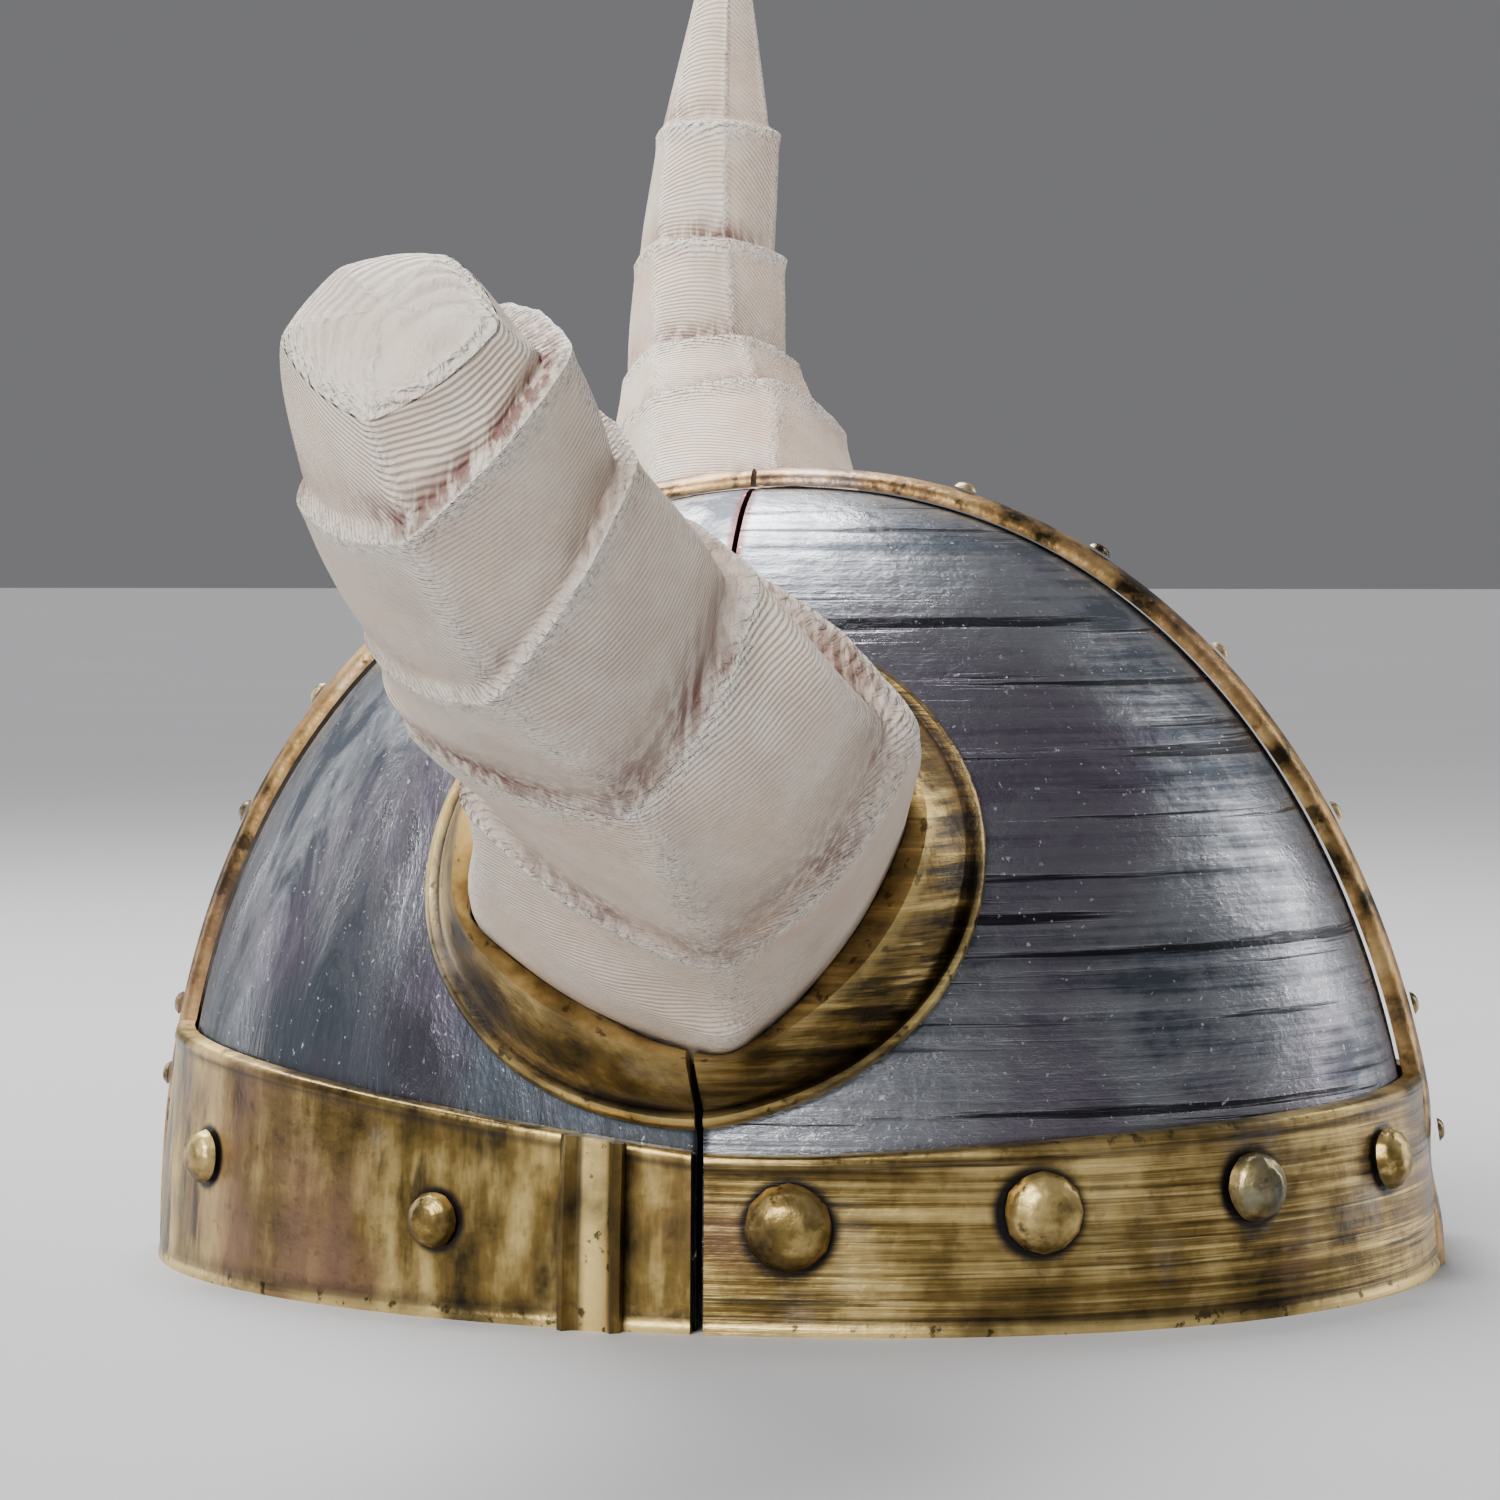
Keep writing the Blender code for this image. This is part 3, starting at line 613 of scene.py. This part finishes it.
@dataclass
class Refined:
    """A solid of the frame, copied, merged and rounded off."""

    node: str
    material: bpy.types.Material
    slot: str
    levels: int = 2
    sharp: float = 50.0
    crease: float = 1.0
    merge_gap: float = 0.00001
    flat_angle: float = 25.0
    shape_angle: float = 60.0
    smooth_angle: float = 40.0

    def build(self) -> bpy.types.Object:
        """Makes the piece and lets it stand for its solid.

        Returns:
            The piece.
        """
        piece = bpy.data.objects.new(f"{self.node}_looks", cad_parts[self.node].data.copy())
        bpy.context.scene.collection.objects.link(piece)
        only(piece)
        bpy.ops.mesh.customdata_custom_splitnormals_clear()
        bpy.ops.object.mode_set(mode="EDIT")
        bpy.ops.mesh.select_mode(type="EDGE")
        bpy.ops.mesh.select_all(action="SELECT")
        bpy.ops.mesh.remove_doubles(threshold=self.merge_gap)
        bpy.ops.mesh.tris_convert_to_quads(face_threshold=math.radians(self.flat_angle),
                                           shape_threshold=math.radians(self.shape_angle))
        bpy.ops.mesh.select_all(action="DESELECT")
        bpy.ops.mesh.edges_select_sharp(sharpness=math.radians(self.sharp))
        bpy.ops.transform.edge_crease(value=self.crease)
        bpy.ops.object.mode_set(mode="OBJECT")
        smooth = piece.modifiers.new("rounded", "SUBSURF")
        smooth.levels = smooth.render_levels = self.levels
        bpy.ops.object.modifier_apply(modifier=smooth.name)
        bpy.ops.object.shade_smooth_by_angle(angle=math.radians(self.smooth_angle))
        dress(piece, self.material)
        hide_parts(self.node)
        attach(piece, "root")
        return piece


@dataclass
class Shells:
    """Silver dome in two halves."""

    slot: str = "silver_paint"

    def build(self) -> list[bpy.types.Object]:
        """Makes both halves of the dome."""
        pieces = []
        for end in End:
            finish = SilverPaint(end).build()
            pieces.append(Refined(f"shell_{end.value}", finish, self.slot).build())
        return pieces


@dataclass
class BrowBand:
    """Gold band round the rim, its rivets and its side battens."""

    slot: str = "antique_gold_paint"
    lip: float = 0.0020
    top_gleam: float = 0.45
    batten_middle: float = -0.017
    batten_channel: float = 0.0021
    channel_edge: float = 0.001
    rivets_front: int = 4
    rivets_rear: int = 2

    def top_and_bottom(self, place: Vector) -> float:
        """How far a place lies on one of the two lips, which are painted brighter, partly as edge
        wear and partly as a painted highlight.
        """
        height = LAYOUT.band_height(place)
        low = 1.0 - min(1.0, place.z / (self.lip * 1.3))
        high = 1.0 - min(1.0, abs(height - place.z) / self.lip)
        return min(1.0, max(low * 1.8, high * self.top_gleam))

    def in_channel(self, place: Vector) -> float:
        """How far a place lies in the channel between a batten's ribs."""
        past = abs(place.x - self.batten_middle) - self.batten_channel
        return max(0.0, min(1.0, 1.0 - past / self.channel_edge))

    def beside_channel(self, place: Vector) -> float:
        """How far a place lies on the inner flank of a batten's rib, where painted shade goes."""
        off = abs(place.x - self.batten_middle)
        return 0.8 * max(0.0, 1.0 - abs(off - self.batten_channel - 0.0006) / 0.0007)

    def under_lips(self, place: Vector) -> float:
        """How far a place lies in the hollow line beside a lip, where painted shade goes."""
        height = LAYOUT.band_height(place)
        near = min(abs(place.z - self.lip * 1.25), abs(height - place.z - self.lip * 1.2))
        return 0.75 * max(0.0, 1.0 - near / 0.0009)

    def build(self) -> list[bpy.types.Object]:
        """Makes the band's four lengths with what is on them."""
        front = GoldPaint("antique_gold_front",
                          rivets=self.rivet_places(End.FRONT, self.rivets_front)).build()
        rear = GoldPaint("antique_gold_rear", stretch=(80, 80, 18), pale_share=0.75, gleam_share=0.4,
                         rivets=self.rivet_places(End.REAR, self.rivets_rear)).build()
        heads = GoldPaint("antique_gold_rivets", stretch=(120, 120, 120), lumps=0.0008,
                          pale=(0.30, 0.33, 0.25), pale_share=0.7,
                          copper=(0.13, 0.075, 0.07)).build()
        pieces = []
        for end, finish, count in ((End.FRONT, front, self.rivets_front),
                                   (End.REAR, rear, self.rivets_rear)):
            for side in Side:
                band = Refined(f"band_{side.value}_{end.value}", finish, self.slot).build()
                keep_value(band, "edge", self.top_and_bottom)
                keep_value(band, "hollow", self.under_lips)
                pieces.append(band)
                for i in range(count):
                    node = f"rivet_{end.value}_{side.value}_{i + 1}"
                    pieces.append(self.rivet(node, heads))
        ribs = GoldPaint("antique_gold_battens", stretch=(80, 80, 18), pale=(0.50, 0.42, 0.40),
                         pale_share=0.9, copper_share=0.75).build()
        for side in Side:
            batten = Refined(f"batten_{side.value}", ribs, self.slot).build()
            keep_value(batten, "edge", self.in_channel)
            keep_value(batten, "hollow", self.beside_channel)
            pieces.append(batten)
        return pieces

    def rivet_places(self, end: End, count: int) -> tuple[tuple[float, float, float, float], ...]:
        """Middles and radii of the left side's rivets, in the helmet's own frame.

        Args:
            end: half of the helmet.
            count: how many rivets the side has there.

        Returns:
            Rows of x, y, z and radius.
        """
        rows = []
        for i in range(count):
            low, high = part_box(f"rivet_{end.value}_left_{i + 1}")
            rows.append((*LAYOUT.local((low + high) / 2), (high.z - low.z) / 2))
        return tuple(rows)

    def rivet(self, node: str, finish: bpy.types.Material) -> bpy.types.Object:
        """Makes one rivet, a little faceted.

        Args:
            node: its solid.
            finish: its paint.

        Returns:
            The rivet.
        """
        low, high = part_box(node)
        middle = LAYOUT.local((low + high) / 2)
        reach = max((high - low).xyz) / 2
        piece = Refined(node, finish, self.slot, levels=2, sharp=12, crease=0.55).build()
        # Painted highlight: the rivet's upper half is painted brighter, most at its top.
        keep_value(piece, "edge", lambda place: 0.8 * max(0.0, (place.z - middle.z) / reach))
        keep_value(piece, "hollow", lambda place: 0.0)
        return piece


@dataclass
class Crest:
    """Gold ridge over the dome with its studs."""

    slot: str = "antique_gold_paint"
    studs: int = 6

    def build(self) -> list[bpy.types.Object]:
        """Makes both halves of the crest and their studs."""
        paint = GoldPaint("antique_gold_crest", stretch=(140, 140, 140), lumps=0.0011,
                          middle=(0.40, 0.235, 0.085), bright=(0.66, 0.45, 0.20),
                          copper_share=0.35, pale_share=0.45, rough=0.4)
        finish = paint.build()
        heads = GoldPaint("antique_gold_studs", stretch=(300, 300, 300), bright=(0.84, 0.66, 0.34),
                          middle=(0.46, 0.34, 0.16), pale=(0.62, 0.54, 0.40)).build()
        pieces = []
        for end in End:
            pieces.append(Refined(f"crest_{end.value}", finish, self.slot, sharp=60).build())
            for i in range(self.studs):
                node = f"stud_{end.value}_{i + 1}"
                pieces.append(Refined(node, heads, self.slot, levels=1, sharp=60).build())
        return pieces


@dataclass
class Sockets:
    """Flared gold cups round the roots of the horns."""

    slot: str = "antique_gold_paint"
    bead: float = 0.0026
    groove: float = 0.0016

    def spread(self, place: Vector) -> Triple:
        """Place on the socket: angle round it, distance from its middle, height off its plane."""
        mirrored = Vector((place.x, -abs(place.y), place.z))
        off = mirrored - Vector(LAYOUT.socket_centre)
        outward = LAYOUT.outward()
        up = outward.cross(Vector((1.0, 0.0, 0.0)))
        across, rise = off.x, off.dot(up)
        return math.atan2(rise, across), math.hypot(across, rise), off.dot(outward)

    def rim(self, angle: float) -> float:
        """Distance of the socket's outer edge from its middle."""
        return 1 / math.hypot(math.cos(angle) / LAYOUT.socket_along,
                              math.sin(angle) / LAYOUT.socket_up)

    def on_bead(self, place: Vector) -> float:
        """How far a place lies on the outer bead or the collar's edge, where a painted highlight
        goes.
        """
        angle, distance, height = self.spread(place)
        bead = 1.0 - min(1.0, abs(self.rim(angle) - self.bead * 0.4 - distance) / 0.002)
        collar = max(0.0, min(1.0, (height - 0.0085) / 0.002))
        return max(0.8 * bead, 0.45 * collar)

    def in_groove(self, place: Vector) -> float:
        """How far a place lies in the groove inside the bead or in the gap round the horn, where
        painted shade goes.
        """
        angle, distance, height = self.spread(place)
        groove = 1.0 - min(1.0, abs(self.rim(angle) - self.bead * 1.15 - distance) / self.groove)
        gap = 1.0 if distance < LAYOUT.horn_root * 0.97 and height < 0.0095 else 0.0
        return max(groove, gap)

    def build(self) -> list[bpy.types.Object]:
        """Makes the four socket halves."""
        pieces = []
        for end, stretch in ((End.FRONT, (30, 30, 520)), (End.REAR, (60, 60, 60))):
            finish = GoldPaint(f"antique_gold_socket_{end.value}", stretch=stretch, lumps=0.0005,
                               pale_share=0.5 if end is End.REAR else 0.25,
                               copper_share=0.3).build()
            for side in Side:
                piece = Refined(f"socket_{side.value}_{end.value}", finish, self.slot).build()
                keep_value(piece, "edge", self.on_bead)
                keep_value(piece, "hollow", self.in_groove)
                pieces.append(piece)
        return pieces


@dataclass(frozen=True)
class GrowthRing:
    """One growth ring.

    Its place, radius and lip are shares of the horn's sizes. Its lowest corner has an angle in
    degrees, and its plane leans to the front and upwards.
    """

    out: float
    up: float
    back: float
    radius: float
    lip: float
    corner: float
    lean_front: float = 0.0
    lean_up: float = 0.0


LOWER_RINGS = (
    GrowthRing(0.335, 0.109, -0.14, 0.987, 0.89, -84.0, 0.15, -0.71),
    GrowthRing(0.496, 0.191, 0.28, 0.798, 0.78, -71.9, 0.22, -0.43),
)
STUMP_RINGS = (
    GrowthRing(0.597, 0.265, 0.55, 0.803, 0.79, -87.0, -0.40, -0.15),
    GrowthRing(0.717, 0.350, 0.74, 0.703, 1.02, -93.7, -0.36, 0.05),
    GrowthRing(0.808, 0.409, 0.85, 0.461, 0.00, -97.8, 0.00, -0.14),
)
WHOLE_RINGS = (
    GrowthRing(0.586, 0.254, 0.49, 0.803, 0.75, -88.0),
    GrowthRing(0.735, 0.367, 0.72, 0.747, 0.90, -98.0),
    GrowthRing(0.820, 0.447, 0.86, 0.534, 0.60, -95.0),
    GrowthRing(0.890, 0.570, 0.91, 0.466, 0.50, -88.0),
    GrowthRing(0.940, 0.710, 0.89, 0.394, 0.40, -80.0),
    GrowthRing(1.000, 1.000, 0.84, 0.033, 0.00, -80.0),
)


@dataclass
class Horn:
    """A horn with stepped growth rings, blunt or whole."""

    side: Side
    rings: tuple[GrowthRing, ...]
    blunt: bool
    slot: str = "bone_paint"
    reach_out: float = 0.148
    reach_up: float = 0.204
    reach_back: float = 0.034
    lip: float = 0.0062
    lip_run: float = 0.0022
    lip_all_round: float = 0.25
    high_side: float = 45.0
    bead: float = 0.0008
    bead_run: float = 0.0035
    ridge_run: float = 0.0045
    valley_run: float = 3.0
    root_darkening: float = 0.35
    lump_waves: tuple[Triple, ...] = ((13, 1.0, 0.16), (31, -2.0, 0.10))
    lump_drift: tuple[float, float] = (1.7, 6.0)
    flatness: float = 0.575
    crown: float = 0.0035
    crown_steps: tuple[tuple[float, float], ...] = (
        (0.985, 0.05), (0.96, 0.13), (0.925, 0.25), (0.88, 0.39), (0.82, 0.54), (0.74, 0.67),
        (0.62, 0.80), (0.45, 0.91), (0.28, 0.97), (0.12, 1.0))
    root_low: float = 0.0
    root_top: float = 0.0115
    points: int = 180
    corners: tuple[tuple[float, float], ...] = (
        (0.0, 1.04), (85.3, 0.97), (154.8, 0.72), (229.5, 0.86), (279.9, 1.05))
    corner_shifts: tuple[float, ...] = (-4.0, -2.0, 0.0, 2.0, 4.0)
    corner_reach: float = 9.0
    corner_ridge: float = 0.55
    look_ahead: float = 0.02
    smooth_angle: float = 60.0
    lip_steps: tuple[float, ...] = (0.25, 0.5, 0.75, 1.0, 1.5, 2.2)
    lip_clear: float = 2.6
    fine_steps: tuple[float, ...] = (0.05, 0.1, 0.16, 0.24, 0.32, 0.4, 0.48, 0.56, 0.64, 0.72,
                                     0.8, 0.86, 0.91, 0.95, 0.98)

    def share(self, turn: float) -> float:
        """Radius of the five-cornered section, as a share, with its corners a little rounded."""
        shares = [self.raw_share(turn + math.radians(shift)) for shift in self.corner_shifts]
        return sum(shares) / len(shares)

    def raw_share(self, turn: float) -> float:
        """Radius of the section with plain corners, between its flat and its round form."""
        turn %= 2 * math.pi
        corners = [(math.radians(degree), radius) for degree, radius in self.corners]
        corners.append((2 * math.pi, corners[0][1]))
        for (low, near), (high, far) in zip(corners, corners[1:]):
            if low <= turn <= high:
                break
        part = (turn - low) / (high - low)
        flat = near * far * math.sin(high - low)
        flat /= near * math.sin(turn - low) + far * math.sin(high - turn)
        return (near + (far - near) * part) * (1 - self.flatness) + flat * self.flatness

    def near_corner(self, turn: float) -> float:
        """How near a turn round the section is to a corner, 1 on it."""
        gaps = []
        for degree, _ in self.corners:
            gap = (turn - math.radians(degree) + math.pi) % (2 * math.pi) - math.pi
            gaps.append(abs(gap))
        return max(0.0, 1.0 - min(gaps) / math.radians(self.corner_reach))

    def across(self, direction: Vector) -> tuple[Vector, Vector]:
        """Directions to the front and upwards, square to a direction."""
        front = Vector((1.0, 0.0, 0.0))
        front = (front - direction * front.dot(direction)).normalized()
        return front, direction.cross(front)

    def leaning(self, direction: Vector, lean: Sequence[float]) -> Vector:
        """Direction turned by a lean to the front and upwards."""
        front, up = self.across(direction)
        return (direction + front * lean[0] + up * lean[1]).normalized()

    def centre_line(self) -> tuple[list[Vector], list[float], list[float], list[float]]:
        """Places, radii, lips and corner angles of the rings, the root's first.

        Returns:
            Four lists of the same length.
        """
        socket = Vector(LAYOUT.socket_centre)
        places = [socket + LAYOUT.outward() * self.root_top]
        for ring in self.rings:
            places.append(socket + Vector((-ring.back * self.reach_back,
                                           -ring.out * self.reach_out,
                                           ring.up * self.reach_up)))
        radii = [LAYOUT.horn_root] + [ring.radius * LAYOUT.horn_root for ring in self.rings]
        lips = [0.0] + [ring.lip * self.lip for ring in self.rings]
        corners = [math.radians(LAYOUT.root_corner)]
        corners += [math.radians(ring.corner) for ring in self.rings]
        return places, radii, lips, corners

    def curve(self, places: Sequence[Vector], leg: int, part: float) -> Vector:
        """Place on the horn's middle line.

        Args:
            places: the rings' places.
            leg: number of the ring before it.
            part: share of the way to the next ring.

        Returns:
            The place.
        """
        last = len(places) - 1
        start, end = places[leg], places[min(leg + 1, last)]
        before, after = places[max(leg - 1, 0)], places[min(leg + 2, last)]
        run = (end - start).length
        lead = (end - before).normalized() * run if leg else end - start
        trail = (after - start).normalized() * run if leg + 1 < last else end - start
        t = part
        return (start * (2 * t ** 3 - 3 * t ** 2 + 1) + lead * (t ** 3 - 2 * t ** 2 + t)
                + end * (-2 * t ** 3 + 3 * t ** 2) + trail * (t ** 3 - t ** 2))

    def section(self, place: Vector, direction: Vector, radius: float, corner: float,
                drop: float, bead: float, phase: float = 0.0) -> list[Vector]:
        """One closed row of points round the horn.

        Args:
            place: middle of the section.
            direction: the horn's direction there.
            radius: its largest radius.
            corner: angle of its lowest corner.
            drop: how far it lies below the lip behind it, on the lip's high side.
            bead: how far it swells out.
            phase: moves the lumps of the swelling round.

        Returns:
            The points.
        """
        across, up = self.across(direction)
        row = []
        for i in range(self.points):
            turn = 2 * math.pi * i / self.points
            angle = corner + turn
            facing = max(0.0, math.cos(angle - math.radians(self.high_side)))
            depth = drop * (self.lip_all_round + (1 - self.lip_all_round) * facing)
            reach = radius * self.share(turn) - depth
            lumps = sum(size * math.sin(waves * turn + shift * phase)
                        for waves, shift, size in self.lump_waves)
            reach += bead * (0.5 + 0.5 * facing) * (1.0 + lumps)
            row.append(place + (across * math.cos(angle) + up * math.sin(angle)) * reach)
        return row

    def rows(self) -> list[tuple[list[Vector], float, float]]:
        """All rows of points from the root to the end.

        Returns:
            Rows, each with how deep in a valley and how high on a ridge it lies.
        """
        places, radii, lips, corners = self.centre_line()
        leans = [(0.0, 0.0)] + [(ring.lean_front, ring.lean_up) for ring in self.rings]
        socket = Vector(LAYOUT.socket_centre)
        outward = LAYOUT.outward()
        rows = []
        # The lowest rows, inside the socket, take part of the valleys' red-brown, so the root is
        # darker there.
        for height in (self.root_low, self.root_top * 0.4, self.root_top):
            row = self.section(socket + outward * height, outward, radii[0], corners[0], 0.0, 0.0)
            rows.append((row, self.root_darkening if height < self.root_top else 0.0, 0.0))
        for leg in range(len(places) - 1):
            run = (places[leg + 1] - places[leg]).length
            lip_share = min(self.lip_run, run * 0.2) / run
            for part in self.steps(leg, lip_share):
                ease = part * part * (3 - 2 * part)
                if leg and part <= lip_share:
                    ease = 0.0
                lean = [low + (high - low) * ease for low, high in zip(leans[leg], leans[leg + 1])]
                direction = self.leaning(self.heading(places, leg, part), lean)
                radius = radii[leg] + (radii[leg + 1] - radii[leg]) * part
                corner = corners[leg] + (corners[leg + 1] - corners[leg]) * ease
                if leg and part < lip_share:
                    down = part / lip_share
                    drop = lips[leg] * down * down * (3 - 2 * down)
                else:
                    drop = lips[leg] * (1 - part) ** 1.5
                has_lip = lips[leg + 1] > 0
                swell = self.bead * max(0.0, 1 - (1 - part) * run / self.bead_run) if has_lip else 0.0
                if leg and part < lip_share:
                    swell = self.bead * (1 - part / lip_share)
                valley = 0.0
                if leg:
                    valley = max(0.0, 1 - abs(part - lip_share) / (lip_share * self.valley_run))
                ridge = max(0.0, 1 - (1 - part) * run / self.ridge_run) if has_lip else 0.0
                if leg and part < lip_share:
                    ridge = max(ridge, 1 - part / lip_share)
                phase = self.lump_drift[0] * leg + self.lump_drift[1] * part
                row = self.section(self.curve(places, leg, part), direction, radius, corner, drop,
                                   swell, phase)
                rows.append((row, valley, ridge))
        if self.blunt:
            rows += self.crown_rows(rows[-1][0], (places[-1] - places[-2]).normalized())
        return rows

    def steps(self, leg: int, lip_share: float) -> list[float]:
        """Shares of the way to the next ring at which a row of points lies.

        Args:
            leg: number of the ring before them.
            lip_share: share of the way that the lip's step takes.

        Returns:
            The shares, the closest ones beside the lip.
        """
        if not leg:
            return [*self.fine_steps, 1.0]
        beside = [lip_share * step for step in self.lip_steps]
        rest = [step for step in self.fine_steps if step > lip_share * self.lip_clear]
        return [*beside, *rest, 1.0]

    def heading(self, places: Sequence[Vector], leg: int, part: float) -> Vector:
        """Direction of the horn's middle line, with the arguments of its curve."""
        ahead = self.curve(places, leg, min(1.0, part + self.look_ahead))
        behind = self.curve(places, leg, max(0.0, part - self.look_ahead))
        return (ahead - behind).normalized()

    def crown_rows(self, edge: Sequence[Vector],
                   direction: Vector) -> list[tuple[list[Vector], float, float]]:
        """Rows of points over the domed end of a blunt horn.

        Args:
            edge: points round the end.
            direction: the horn's direction there.

        Returns:
            Rows like those of the horn.
        """
        middle = sum(edge, Vector()) / len(edge)
        rows = []
        for part, rise in self.crown_steps:
            lift = direction * self.crown * rise
            ridge = 0.8 if part > 0.85 else 0.15
            rows.append(([middle + (p - middle) * part + lift for p in edge], 0.0, ridge))
        return rows

    def build(self) -> bpy.types.Object:
        """Lofts the horn's rows of points and dresses it.

        Returns:
            The horn.
        """
        shape = bmesh.new()
        valley = shape.verts.layers.float.new("valley")
        ridge = shape.verts.layers.float.new("ridge")
        made = []
        for row, deep, high in self.rows():
            verts = []
            for i, point in enumerate(row):
                spot = Vector((point.x, -self.side.sign * point.y, point.z))
                vert = shape.verts.new(LAYOUT.placed(spot))
                corner = self.near_corner(2 * math.pi * i / self.points)
                vert[valley] = deep
                vert[ridge] = max(high, corner * self.corner_ridge)
                verts.append(vert)
            made.append(verts)
        for row, following in zip(made, made[1:]):
            for i in range(self.points):
                j = (i + 1) % self.points
                shape.faces.new((row[i], row[j], following[j], following[i]))
        shape.faces.new(list(reversed(made[0])))
        shape.faces.new(made[-1])
        bmesh.ops.recalc_face_normals(shape, faces=shape.faces)
        mesh = bpy.data.meshes.new(f"horn_{self.side.value}_looks")
        shape.to_mesh(mesh)
        shape.free()
        piece = bpy.data.objects.new(mesh.name, mesh)
        bpy.context.scene.collection.objects.link(piece)
        only(piece)
        bpy.ops.object.shade_smooth_by_angle(angle=math.radians(self.smooth_angle))
        dress(piece, BonePaint(f"bone_paint_{self.side.value}", self.side).build())
        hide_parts(f"horn_{self.side.value}")
        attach(piece, "root")
        return piece


@dataclass(frozen=True)
class Softbox:
    """A rectangular soft light near the helmet, with its power in watts."""

    name: str
    place: Triple
    size: tuple[float, float]
    power: float

    def build(self) -> bpy.types.Light:
        """Makes the light."""
        light = bpy.data.lights.new(self.name, "AREA")
        light.shape = "RECTANGLE"
        light.size, light.size_y = self.size
        light.energy = self.power
        return light


@dataclass(frozen=True)
class Skylight:
    """A broad far light on the helmet and all of the floor, in watts to the square metre."""

    name: str
    place: Triple
    spread: float
    strength: float

    def build(self) -> bpy.types.Light:
        """Makes the light."""
        light = bpy.data.lights.new(self.name, "SUN")
        light.angle = math.radians(self.spread)
        light.energy = self.strength
        return light


LIGHTS = (
    Softbox("overhead", (-0.30, 0.50, 0.98), (0.7, 0.6), 22.0),
    Softbox("right_strip", (0.95, 0.55, 0.40), (0.24, 0.9), 4.0),
    Softbox("left_strip", (-0.95, 0.45, 0.35), (0.24, 0.9), 2.3),
    Skylight("front_fill", (-0.60, -1.20, 1.15), 34.0, 4.3),
)


@dataclass
class Studio:
    """Pale floor, soft light and the camera."""

    camera_place: Triple = (0.08488, -0.88266, 0.128)
    turn: float = 6.1
    dip: float = 2.38
    lens: float = 115.5
    sensor: float = 36.0
    floor_size: float = 30.0
    air: Triple = (0.18, 0.18, 0.19)
    aim: Triple = (0.0, 0.0, 0.08)

    def build(self) -> None:
        """Makes the floor, the lights and the camera."""
        bpy.ops.object.select_all(action="DESELECT")
        bpy.ops.mesh.primitive_plane_add(size=self.floor_size, location=(0.0, 0.0, 0.0))
        floor = bpy.context.active_object
        floor.name = "studio_floor"
        dress(floor, StudioFloor().build())
        for light in LIGHTS:
            self.hang(light.build(), light.place)
        world = bpy.data.worlds.new("studio_air")
        world.use_nodes = True
        back = world.node_tree.nodes["Background"]
        back.inputs[0].default_value = (*self.air, 1.0)
        back.inputs[1].default_value = 1.0
        bpy.context.scene.world = world
        data = bpy.data.cameras.new("camera")
        data.lens = self.lens
        data.sensor_width = self.sensor
        camera = bpy.data.objects.new("camera", data)
        bpy.context.scene.collection.objects.link(camera)
        camera.location = self.camera_place
        camera.rotation_euler = (math.radians(90 - self.dip), 0.0, math.radians(self.turn))
        bpy.context.scene.camera = camera

    def hang(self, light: bpy.types.Light, place: Triple) -> None:
        """Puts a light in its place, turned to the helmet.

        Args:
            light: the light.
            place: where it hangs.
        """
        lamp = bpy.data.objects.new(light.name, light)
        bpy.context.scene.collection.objects.link(lamp)
        lamp.location = place
        way = Vector(self.aim) - Vector(place)
        lamp.rotation_euler = way.to_track_quat("-Z", "Y").to_euler()


def main() -> None:
    """Builds the helmet's pieces in order, then the studio round it."""
    logging.basicConfig(level=logging.INFO, format="%(message)s")
    builders = (
        Shells(),
        BrowBand(),
        Crest(),
        Sockets(),
        Horn(Side.RIGHT, LOWER_RINGS + STUMP_RINGS, True),
        Horn(Side.LEFT, LOWER_RINGS + WHOLE_RINGS, False),
    )
    for builder in builders:
        made = builder.build()
        for piece in made if isinstance(made, list) else [made]:
            logger.info("%s: %d faces", piece.name, len(piece.data.polygons))
    Studio().build()


if __name__ == "__main__":
    main()
